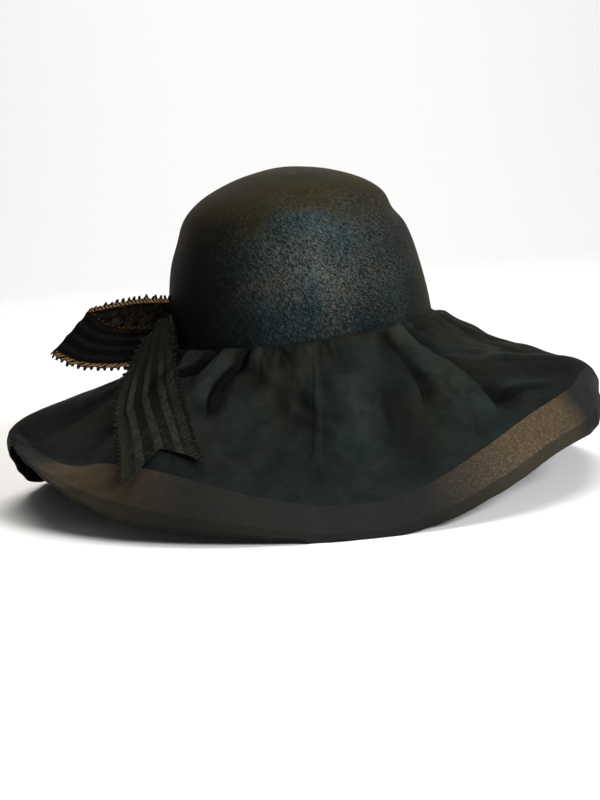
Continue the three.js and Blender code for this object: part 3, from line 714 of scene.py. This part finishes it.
def crinkle(u, v):
    """Height of a ribbon's fine creases: satin stripes stand proud, sheer ones pucker."""
    stripes = STRIPE_HEIGHT * np.cos(math.tau * 3.5 * (u - 0.5))
    pucker = RIBBON_PUCKER * wander(v / RIBBON_WIDTH / 6 + 0.13 * u, 34, 5)
    edge = smoothstep(np.abs(u - 0.5), 0.36, 0.5)
    return stripes + pucker * (0.35 + 1.3 * edge)


def ribbon_object(name, middle):
    """A ribbon over a grid whose rows run along it and columns from edge to edge."""
    run = lengths_along(middle).mean(axis=1, keepdims=True)
    across = np.linspace(0, 1, middle.shape[1])[None, :]
    u, v = np.broadcast_arrays(across, run)
    normal = surface_normals(middle, wrapped=False)
    points = middle + normal * crinkle(u, v)[..., None]
    return grid_object(name, points, np.stack([u, v], -1)), points


def loop_middle():
    """The loop's grid, from the knot out, round its fold and back."""
    centre, _, _ = knot_frame()
    heading = math.radians(BOW_HEADING)
    out = np.array([math.cos(heading), math.sin(heading), 0])
    side = np.array([-out[1], out[0], 0])
    up = np.array([0, 0, 1])
    rows, columns = LOOP_GRID
    stations = along_rows(LOOP_STATIONS, np.linspace(0, 1, rows))

    def edge(first):
        out_share, side_share, up_share = (stations[:, first + k:first + k + 1] for k in range(3))
        wide = side * side_share + up * up_share
        return centre + out * out_share * LOOP_LENGTH + wide * RIBBON_WIDTH

    low, top = edge(0), edge(3)
    across = np.linspace(0, 1, columns)[None, :, None]
    return low[:, None] * (1 - across) + top[:, None] * across


def laid_height(brim, plan):
    """Heights of a grid seen from above that is dropped on the brim and pulled tight."""
    tree = BVHTree.FromPolygons(
        [v.co for v in brim.data.vertices], [p.vertices[:] for p in brim.data.polygons])
    lean = math.tan(math.radians(CROWN_LEAN))
    floor = np.zeros(plan.shape[:2])
    for index in np.ndindex(floor.shape):
        x, y = plan[index]
        hit = tree.ray_cast(Vector((x, y, LAYING_HEIGHT)), Vector((0, 0, -1)))[0]
        floor[index] = hit.z if hit else SEAT_HEIGHT + lean * (x - CROWN_CENTRE_X)
    lowest = floor + TAIL_LIFT
    height = lowest.copy()
    for _ in range(LAYING_PASSES):
        around = np.pad(height, 1, mode="edge")
        beside = around[:-2, 1:-1] + around[2:, 1:-1] + around[1:-1, :-2] + around[1:-1, 2:]
        height = np.maximum(beside / 4, lowest)
    return height


def tail_middle(brim):
    """The tail's grid, laid on the brim, with its end cut as a fishtail."""
    centre, knot_out, knot_side = knot_frame()
    start = (centre + knot_out * TAIL_START_OUT * KNOT_DEPTH / 2
             + knot_side * TAIL_START_SIDE * KNOT_LENGTH / 2)
    heading = math.radians(270 + TAIL_DRIFT)
    along = np.array([math.cos(heading), math.sin(heading)])
    across = np.array([-along[1], along[0]])
    rows, columns = TAIL_GRID
    stations = along_rows(TAIL_STATIONS, np.linspace(0, 1, rows))
    u = np.linspace(0, 1, columns)[None, :]
    run, left, right, lift = (stations[:, k:k + 1] for k in range(4))
    cut = run * run * (TAIL_NOTCH * (1 - np.abs(2 * u - 1)) - TAIL_SLANT * u)
    offset = (left + (right - left) * u) * RIBBON_WIDTH
    reach = run * TAIL_LENGTH - cut
    plan = start[:2] + along * reach[..., None] + across * offset[..., None]
    height = laid_height(brim, plan) + lift * RIBBON_WIDTH
    return np.concatenate([plan, height[..., None]], -1)


def knot_object():
    """The knot, a wrinkled barrel with the ribbon's stripes round it."""
    centre, out, side = knot_frame()
    s = np.linspace(-1, 1, KNOT_ROWS)[:, None]
    turn = np.arange(KNOT_COLUMNS)[None, :] / KNOT_COLUMNS
    angle = math.tau * turn
    swell = np.sqrt(np.clip(1 - np.abs(s) ** 2.6, 0.02, 1))
    wrinkle = 1 + KNOT_WRINKLE * np.cos(math.tau * 3.2 * s + 1.5 * np.sin(angle))
    wrinkle = wrinkle + KNOT_CRUMPLE * wander(turn + 0 * s, 9, 4)
    reach = (np.cos(angle) * KNOT_DEPTH / 2 * swell * wrinkle)[..., None]
    rise = (np.sin(angle) * KNOT_HEIGHT / 2 * swell * wrinkle)[..., None]
    run = side * (s * KNOT_LENGTH / 2)[..., None]
    points = centre + out * reach + np.array([0, 0, 1]) * rise + run
    u = 0.505 + 0.08 * s
    v = np.arange(KNOT_COLUMNS + 1)[None, :] / KNOT_COLUMNS * math.pi * KNOT_HEIGHT
    uv = np.stack(np.broadcast_arrays(u, v), -1)
    ends = (centre - side * KNOT_LENGTH / 2, centre + side * KNOT_LENGTH / 2)
    return grid_object("bow_knot_wrap", points, uv, wrapped=True, caps=ends)


def picot_places(points, edge, beside):
    """Places along an edge column of a ribbon's grid, with their directions along the
    edge and away from the column beside it."""
    line = points[:, edge]
    outward = line - points[:, beside]
    outward /= np.linalg.norm(outward, axis=-1, keepdims=True)
    run = lengths_along(line[:, None])[:, 0]

    def at(place, values):
        return np.array([np.interp(place, run, values[:, k]) for k in range(3)])

    for start in np.arange(PICOT_PITCH / 2, run[-1] - PICOT_PITCH / 2, PICOT_PITCH):
        place = at(start, line)
        ahead = at(start + PICOT_SIGHT, line) - place
        yield place, ahead / np.linalg.norm(ahead), at(start, outward)


def picots(name, ribbons):
    """Small thread loops along both edges of each ribbon grid."""
    bend = np.linspace(0, math.pi, PICOT_BENDS)
    section = np.arange(PICOT_SIDES) * math.tau / PICOT_SIDES
    places = [
        place for points in ribbons for edge, beside in ((0, 1), (-1, -2))
        for place in picot_places(points, edge, beside)]
    vertices, faces = [], []
    for place, along, away in places:
        normal = np.cross(along, away)
        back, rise = np.outer(-np.cos(bend), along), np.outer(np.sin(bend), away)
        spine = place + back * PICOT_HALF_WIDTH + rise * PICOT_HEIGHT
        first = len(vertices)
        for point, direction in zip(spine, back + rise):
            ring = (point + np.outer(np.cos(section), direction) * PICOT_THREAD
                    + np.outer(np.sin(section), normal) * PICOT_THREAD)
            vertices.extend(ring.tolist())
        for r in range(PICOT_BENDS - 1):
            for k in range(PICOT_SIDES):
                a = first + r * PICOT_SIDES + k
                b = first + r * PICOT_SIDES + (k + 1) % PICOT_SIDES
                faces.append([a, b, b + PICOT_SIDES, a + PICOT_SIDES])
    return mesh_object(name, vertices, faces, {})


# Materials

def new_material(name):
    material = bpy.data.materials.new(name)
    material.use_nodes = True
    return material, material.node_tree


def fill(tree, node, inputs):
    """Gives a node its inputs, which are values or other nodes' sockets."""
    for key, value in inputs.items():
        if isinstance(value, bpy.types.NodeSocket):
            tree.links.new(value, node.inputs[key])
        else:
            node.inputs[key].default_value = value


def add(tree, kind, inputs=None, **settings):
    """The outputs of a new node."""
    node = tree.nodes.new(kind)
    for key, value in settings.items():
        setattr(node, key, value)
    fill(tree, node, inputs or {})
    return node.outputs


def ramp(tree, factor, stops):
    """Colours or grey levels between stops."""
    node = tree.nodes.new("ShaderNodeValToRGB")
    fill(tree, node, {"Fac": factor})
    elements = node.color_ramp.elements
    while len(elements) < len(stops):
        elements.new(0.5)
    for element, (place, color) in zip(elements, stops):
        element.position = place
        element.color = (*((color,) * 3 if np.isscalar(color) else color), 1)
    return node.outputs["Color"]


def mix(tree, factor, a, b, blend="MIX"):
    first, second = ((*value, 1) if isinstance(value, tuple) else value for value in (a, b))
    inputs = {0: factor, 6: first, 7: second}
    return add(tree, "ShaderNodeMix", inputs, data_type="RGBA", blend_type=blend)[2]


def maths(tree, operation, *values):
    return add(tree, "ShaderNodeMath", dict(enumerate(values)), operation=operation)[0]


def scaled(tree, value, factor, offset=0.0):
    return maths(tree, "MULTIPLY_ADD", value, factor, offset)


def wave(tree, distance, pitch):
    return maths(tree, "SINE", scaled(tree, distance, math.tau / pitch))


def axes_of(tree, vector):
    return add(tree, "ShaderNodeSeparateXYZ", {"Vector": vector})


def noise(tree, coordinates, scale, detail, **more):
    """Clouds from 0 to 1 over coordinates in metres."""
    inputs = {"Vector": coordinates, "Scale": scale, "Detail": detail, **more}
    return add(tree, "ShaderNodeTexNoise", inputs)["Fac"]


def bumped(tree, height, strength, distance, **more):
    inputs = {"Height": height, "Strength": strength, "Distance": distance, **more}
    return add(tree, "ShaderNodeBump", inputs)["Normal"]


def shade(tree, color, roughness, specular, **more):
    """Gives the material's own shader its inputs."""
    fill(tree, tree.nodes["Principled BSDF"], {
        "Base Color": color, "Roughness": roughness, "Specular IOR Level": specular, **more})


def thread_weave(tree, coordinates, pitch):
    """A plain weave's relief from 0 to 1 over coordinates in metres."""
    axes = axes_of(tree, coordinates)
    crossing = scaled(tree, wave(tree, axes["X"], pitch), wave(tree, axes["Y"], pitch))
    return scaled(tree, crossing, 0.5, 0.5)


def threads(tree, coordinates, turn, length, pitch):
    """Irregular short threads that lie at a turn from the first axis, in metres."""
    inputs = {"Vector": coordinates, "Rotation": (0, 0, turn), "Scale": (length, pitch, 1)}
    laid = add(tree, "ShaderNodeMapping", inputs, vector_type="TEXTURE")
    return noise(tree, laid[0], 1, 0, Roughness=0.4)


def straw_material():
    """Threads that lie three ways, with painted light in the middle of the near side and painted
    shade to its left and lower down, and brown painted for warm light at the top and for shade at
    the right."""
    material, tree = new_material("woven_straw")
    place = add(tree, "ShaderNodeTexCoord")
    patches = noise(tree, place["Object"], 38, 4)
    tone = noise(tree, place["Object"], 30, 3)
    axes = axes_of(tree, place["Object"])
    x, z = axes["X"], axes["Z"]
    x_share = scaled(tree, x, 5.0, 0.5)

    # Level threads show more at the right, upright ones lower down
    on_top = maths(tree, "GREATER_THAN", z, STRAW_TOP)
    uv = mix(tree, on_top, place["UV"], place["Object"])
    level = threads(tree, uv, 0, STRAW_LEVEL, STRAW_PITCH)
    level = maths(tree, "ADD", level, scaled(tree, x, 1.2, -0.04))
    upright = threads(tree, uv, math.pi / 2, STRAW_UPRIGHT, STRAW_PITCH)
    upright = maths(tree, "ADD", upright, scaled(tree, z, -1.2, 0.14))
    slanted = threads(tree, uv, -math.pi / 4, STRAW_SLANTED, STRAW_PITCH)
    crossed = maths(tree, "MAXIMUM", level, maths(tree, "MAXIMUM", upright, slanted))

    # Painted light, strongest just right of the middle, with painted shade to the left and lower
    # down near the seam; more light flecks show where it is brighter
    wear_and_painted_light = ramp(tree, x_share, [
        (0.18, 0), (0.28, 0.22), (0.4, 0.68), (0.56, 1), (0.7, 0.62), (0.9, 0.35)])
    low = ramp(tree, scaled(tree, z, 5.0), [(0.5, 0.52), (0.7, 1)])
    wear_and_painted_light = scaled(tree, wear_and_painted_light, low)
    cover = scaled(tree, wear_and_painted_light, 0.12, scaled(tree, patches, 0.26, -0.25))
    speckle = maths(tree, "ADD", crossed, cover)

    # Brown painted for warm light starts at a ragged height that bends up in the middle, and brown
    # painted for shade runs up the right edge
    slope = scaled(tree, x, -0.11, scaled(tree, patches, 0.06, z))
    slope = scaled(tree, scaled(tree, x, x), 2.5, slope)
    fade = ramp(tree, scaled(tree, slope, 4.0), [(0.79, 0), (0.87, 1)])
    fade = maths(tree, "MAXIMUM", fade, ramp(tree, x_share, [(0.84, 0), (0.9, 0.85)]))

    # Colours of the straw and of the gaps between threads, near black where painted shade lies, and
    # brown where warm light and shade are painted
    tinted = scaled(tree, z, 2.5, scaled(tree, x, 0.9, tone))
    hue = ramp(tree, maths(tree, "ADD", tinted, -0.35), [(0.36, 0), (0.64, 1)])
    blue = mix(tree, hue, (0.044, 0.065, 0.066), (0.078, 0.08, 0.069))
    blue = mix(tree, wear_and_painted_light, (0.004, 0.004, 0.003), blue)
    ground = mix(tree, hue, (0.004, 0.012, 0.014), (0.009, 0.0115, 0.0105))
    ground = mix(tree, wear_and_painted_light, (0.0015, 0.0017, 0.0014), ground)
    olive = ramp(tree, tone, [(0.35, 0), (0.65, 1)])
    dark_brown = mix(tree, olive, (0.0058, 0.0051, 0.0006), (0.0125, 0.0092, 0.0006))
    light_brown = mix(tree, olive, (0.0155, 0.0138, 0.0036), (0.033, 0.0236, 0.0042))
    fleck = ramp(tree, speckle, [(0.545, 0), (0.64, 1)])
    color = mix(
        tree, fleck, mix(tree, fade, ground, dark_brown), mix(tree, fade, blue, light_brown))
    shade(tree, color, 0.6, 0.05, Normal=bumped(tree, speckle, 1.0, 0.0008))
    return material


def organza_material():
    """Sheer cloth: where it is lined, painted soft sheen in random patches, painted shade towards
    the left and the right, and painted shade in folds and creases; past the lining a grey band with
    stretches of painted warm light coming through. The UV map place holds the turn round the hat
    and a reach that is 1 at the lining's rim and 2 at the organza's. The UV map relief is low in
    folds and creases."""
    material, tree = new_material("sheer_organza")
    place = add(tree, "ShaderNodeTexCoord")
    spot = axes_of(tree, add(tree, "ShaderNodeUVMap", uv_map="place")["UV"])
    turn, reach = spot["X"], spot["Y"]
    relief = axes_of(tree, add(tree, "ShaderNodeUVMap", uv_map="relief")["UV"])["X"]
    clouds = noise(tree, place["Object"], 75, 6, Roughness=0.62, Distortion=0.6)

    # The part over the lining
    # Light and dark patches at random, painted soft sheen
    painted_sheen_patches = ramp(tree, clouds, [(0.32, 0), (0.68, 1)])
    outer = scaled(tree, reach, 0.35, noise(tree, place["Object"], 22, 2))
    bluish = ramp(tree, outer, [(0.55, 0), (0.8, 1)])
    deep = mix(tree, bluish, (0.0085, 0.0115, 0.0082), (0.0065, 0.012, 0.012))
    pale = mix(tree, bluish, (0.0235, 0.0265, 0.02), (0.018, 0.026, 0.025))
    lined = mix(tree, painted_sheen_patches, deep, pale)
    # Painted shade by the turn round the hat: darker and browner at the left and on the far side,
    # darker at the right, lightest on the near side
    turned = ramp(tree, turn, [
        (0.5, (0.3, 0.21, 0.11)), (0.54, (0.26, 0.2, 0.13)), (0.57, (0.38, 0.35, 0.3)),
        (0.6, 0.54), (0.68, 0.88), (0.8, 0.94), (0.86, (0.92, 0.92, 0.86)),
        (0.93, (0.54, 0.49, 0.4))])
    lined = mix(tree, 1.0, lined, turned, "MULTIPLY")
    # Painted shade in folds and creases, less on the cloth that stands up, from the UV map relief
    painted_fold_shade = ramp(tree, relief, [
        (0.0, 0.03), (0.3, 0.18), (0.48, 0.42), (0.65, 0.62), (1.0, 0.9)])
    lined = mix(tree, 1.0, lined, painted_fold_shade, "MULTIPLY")

    # The single layer past it, with a watered sheen, pale hatching, and painted warm light coming
    # through it at the left and the right of the near side and a little on the far side; the
    # hatching shows most at the right
    watered = add(tree, "ShaderNodeTexWave", {
        "Vector": place["UV"], "Scale": 190, "Distortion": 7, "Detail": 2,
        "Detail Scale": 1.2})["Fac"]
    painted_backlight_share = ramp(tree, turn, [
        (0.0, 0.12), (0.1, 0.2), (0.45, 0.2), (0.5, 0.02), (0.577, 0.02), (0.6, 0.66),
        (0.64, 0.52), (0.685, 0.08), (0.808, 0.05), (0.86, 0.66), (0.903, 0.6),
        (0.922, 0.04)])
    grey = mix(tree, watered, (0.0058, 0.0077, 0.0082), (0.0083, 0.0103, 0.0107))
    painted_backlight = mix(tree, watered, (0.05, 0.032, 0.0155), (0.078, 0.052, 0.028))
    hatch = maths(tree, "MAXIMUM", *(
        threads(tree, place["UV"], HATCH_TURN + square, HATCH_LENGTH, ORGANZA_PITCH)
        for square in (0, math.pi / 2)))
    specks = ramp(tree, hatch, [(0.54, 0), (0.74, 1)])
    specks = scaled(tree, specks, ramp(tree, turn, [(0.7, 0.12), (0.84, 0.9)]))
    painted_backlight = mix(tree, specks, painted_backlight, (0.135, 0.096, 0.056))
    single = mix(tree, painted_backlight_share, grey, painted_backlight)
    # The hem is darker, with the same painted light coming through
    hem = mix(tree, painted_backlight_share, (0.006, 0.0068, 0.0064), (0.038, 0.03, 0.019))
    single = mix(tree, maths(tree, "GREATER_THAN", reach, 1 + HEM_SHARE), single, hem)

    color = mix(tree, maths(tree, "GREATER_THAN", reach, 1.0), lined, single)
    weave = bumped(tree, thread_weave(tree, place["UV"], ORGANZA_PITCH), 0.25, 0.0002)
    shade(
        tree, color, 0.7, 0.06, Normal=bumped(tree, clouds, 0.6, 0.002, Normal=weave),
        Alpha=ramp(tree, painted_backlight_share, [(0.03, 0.996), (0.1, 0.985), (0.6, 0.955)]))
    return material


def lining_material():
    material, tree = new_material("opaque_lining")
    place = add(tree, "ShaderNodeTexCoord")
    clouds = noise(tree, place["Object"], 18, 3)
    color = mix(tree, clouds, (0.006, 0.009, 0.0085), (0.011, 0.016, 0.0145))
    weave = thread_weave(tree, place["UV"], LINING_PITCH)
    shade(tree, color, 0.75, 0.1, Normal=bumped(tree, weave, 0.4, 0.0003))
    return material


def ribbon_material(name, edge, painted_shade_fades_from, veil, tint, black, sheer, thread, satin, far_color):
    """A ribbon with three satin stripes, painted shade over its start that fades from a distance
    along it on, and sheer edges of a width, which are crossed by threads and let tinted light
    through."""
    material, tree = new_material(name)
    place = add(tree, "ShaderNodeTexCoord")
    axes = axes_of(tree, place["UV"])
    across, along = axes["X"], axes["Y"]
    clouds = noise(tree, place["Object"], 220, 5, Roughness=0.65)

    # Stripes, with ragged borders
    edge_stops = [
        (0.0, black), (SELVAGE, black), (SELVAGE + SELVAGE_BLUR, sheer), (edge, sheer),
        (edge + SHEER_BLUR, black)]
    stops = list(edge_stops)
    for middle in STRIPES:
        near, far = STRIPE_HALF_WIDTH, STRIPE_HALF_WIDTH + STRIPE_BLUR
        stops += [
            (middle - far, black), (middle - near, satin), (middle + near, satin),
            (middle + far, black)]
    stops += [(1 - spot, color) for spot, color in reversed(edge_stops)]
    strayed = scaled(tree, clouds, 0.06, maths(tree, "ADD", across, -0.03))
    stripes = ramp(tree, strayed, stops)
    is_sheer = ramp(tree, across, [(spot, int(color is sheer)) for spot, color in stops])

    # Threads across the sheer edges
    crossing = wave(tree, scaled(tree, across, RIBBON_WIDTH, along), THREAD_PITCH)
    ragged = scaled(tree, clouds, 5.0, crossing)
    strands = ramp(tree, scaled(tree, ragged, 0.25), [(0.58, 0), (0.72, 1)])
    strands = mix(tree, is_sheer, (0, 0, 0), strands)

    # Wear, painted shade over the ribbon's start, and another colour on the far half
    rubbed = ramp(tree, clouds, [(0.4, 0.1), (0.66, 0.75)])
    painted_start_shade = ramp(tree, scaled(tree, along, 10.0), [(painted_shade_fades_from, 0.9), (painted_shade_fades_from + 0.25, 0)])
    wear_and_painted_light = maths(tree, "MAXIMUM", rubbed, painted_start_shade)
    color = mix(tree, wear_and_painted_light, mix(tree, strands, stripes, thread), black)
    far_half = ramp(tree, scaled(tree, along, 5.0), [(0.42, 0), (0.5, 1)])
    dotted = ramp(tree, clouds, [(0.48, 0), (0.62, 1)])
    color = mix(tree, scaled(tree, far_half, dotted), color, far_color)

    relief = scaled(tree, wave(tree, along, RIB_PITCH), 0.12, clouds)
    shade(tree, color, 0.7, 0.01, Normal=bumped(tree, relief, 0.8, 0.0012))
    gaps = mix(tree, strands, is_sheer, (0, 0, 0))
    opaque = tree.nodes["Principled BSDF"].outputs[0]
    through = add(tree, "ShaderNodeBsdfTransparent", {"Color": (*tint, 1)})[0]
    inputs = {0: scaled(tree, gaps, 1 - veil), 1: opaque, 2: through}
    blend = add(tree, "ShaderNodeMixShader", inputs)[0]
    fill(tree, tree.nodes["Material Output"], {"Surface": blend})
    return material


def thread_material():
    material, tree = new_material("picot_thread")
    twist = noise(tree, add(tree, "ShaderNodeTexCoord")["Object"], 2500, 2)
    shade(tree, mix(tree, twist, (0.002, 0.002, 0.002), (0.01, 0.009, 0.007)), 0.8, 0.08)
    return material


def floor_material():
    material, tree = new_material("pale_floor")
    shade(tree, (0.86, 0.86, 0.86, 1), 0.9, 0.5)
    return material


# Scene

def dress(made, material, slot, *nodes):
    made.data.materials.append(material)
    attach(made, "root")
    if nodes:
        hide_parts(*nodes)
    return made


def build_hat():
    tail_ribbon = ribbon_material("tail_ribbon", **TAIL_LOOK)
    loop_ribbon = ribbon_material("loop_ribbon", **LOOP_LOOK)
    crown = dress(crown_object(), straw_material(), "straw", "crown")
    outer = outer_layer_object()
    tail, tail_points = ribbon_object("bow_tail_ribbon", tail_middle(outer))
    dress(outer, organza_material(), "sheer_cloth", "brim_outer_layer")
    inner = dress(inner_layer_object(), lining_material(), "opaque_cloth", "brim_inner_layer")
    loop, loop_points = ribbon_object("bow_loop_ribbon", loop_middle())
    dress(tail, tail_ribbon, "ribbon", "bow_tail")
    dress(loop, loop_ribbon, "ribbon", "bow_loop")
    knot = dress(knot_object(), tail_ribbon, "ribbon", "bow_knot")
    edging = dress(picots("bow_picots", [tail_points, loop_points]), thread_material(), "ribbon")


def build_floor():
    """A pale floor that sweeps up into a backdrop behind the hat."""
    bend = [
        (FLOOR_BACK + BACKDROP_BEND * math.sin(a), BACKDROP_BEND * (1 - math.cos(a)))
        for a in np.linspace(0.1, math.pi / 2, 16)]
    far = FLOOR_BACK + BACKDROP_BEND
    profile = [(FLOOR_FRONT, 0), (FLOOR_BACK, 0), *bend, (far, BACKDROP_TOP)]
    sides = (-FLOOR_HALF_WIDTH, FLOOR_HALF_WIDTH)
    points = np.array([[(x, y, z) for x in sides] for y, z in profile])
    floor = grid_object("floor", points, np.zeros((len(profile), 2, 2)), flip=True)
    floor.data.materials.append(floor_material())


def area_light(name, place, target, size, power, color):
    data = bpy.data.lights.new(name, "AREA")
    data.shape = "RECTANGLE"
    data.size, data.size_y = size
    data.energy = power
    data.color = color
    light = new_object(name, data)
    light.location = place
    light.rotation_euler = (Vector(target) - Vector(place)).to_track_quat("-Z", "Y").to_euler()


def build_lights():
    for light in LIGHTS:
        area_light(*light)
    world = bpy.data.worlds.new("studio")
    world.use_nodes = True
    background = world.node_tree.nodes["Background"]
    fill(world.node_tree, background, {"Color": (1, 1, 1, 1), "Strength": WORLD_STRENGTH})
    bpy.context.scene.world = world


def build_camera():
    elevation, roll = math.radians(VIEW_ELEVATION), math.radians(VIEW_ROLL)
    back = Vector((0, -math.cos(elevation), math.sin(elevation)))
    level = Vector((1, 0, 0))
    rise = back.cross(level)
    right = level * math.cos(roll) - rise * math.sin(roll)
    up = level * math.sin(roll) + rise * math.cos(roll)
    data = bpy.data.cameras.new("camera")
    data.sensor_fit = "HORIZONTAL"
    data.lens = FOCAL_PIXELS / IMAGE_WIDTH * data.sensor_width
    data.shift_x = (IMAGE_WIDTH / 2 - AIM_PIXEL[0]) / IMAGE_WIDTH
    data.shift_y = (AIM_PIXEL[1] - IMAGE_HEIGHT / 2) / IMAGE_WIDTH
    camera = new_object("camera", data)
    place = Vector((CROWN_CENTRE_X, 0, SEAT_HEIGHT)) + back * VIEW_DISTANCE
    turned = Matrix((right, up, back)).transposed().to_4x4()
    camera.matrix_world = Matrix.Translation(place) @ turned
    bpy.context.scene.camera = camera


bpy.context.scene.view_settings.view_transform = "Standard"
build_hat()
build_floor()
build_lights()
build_camera()
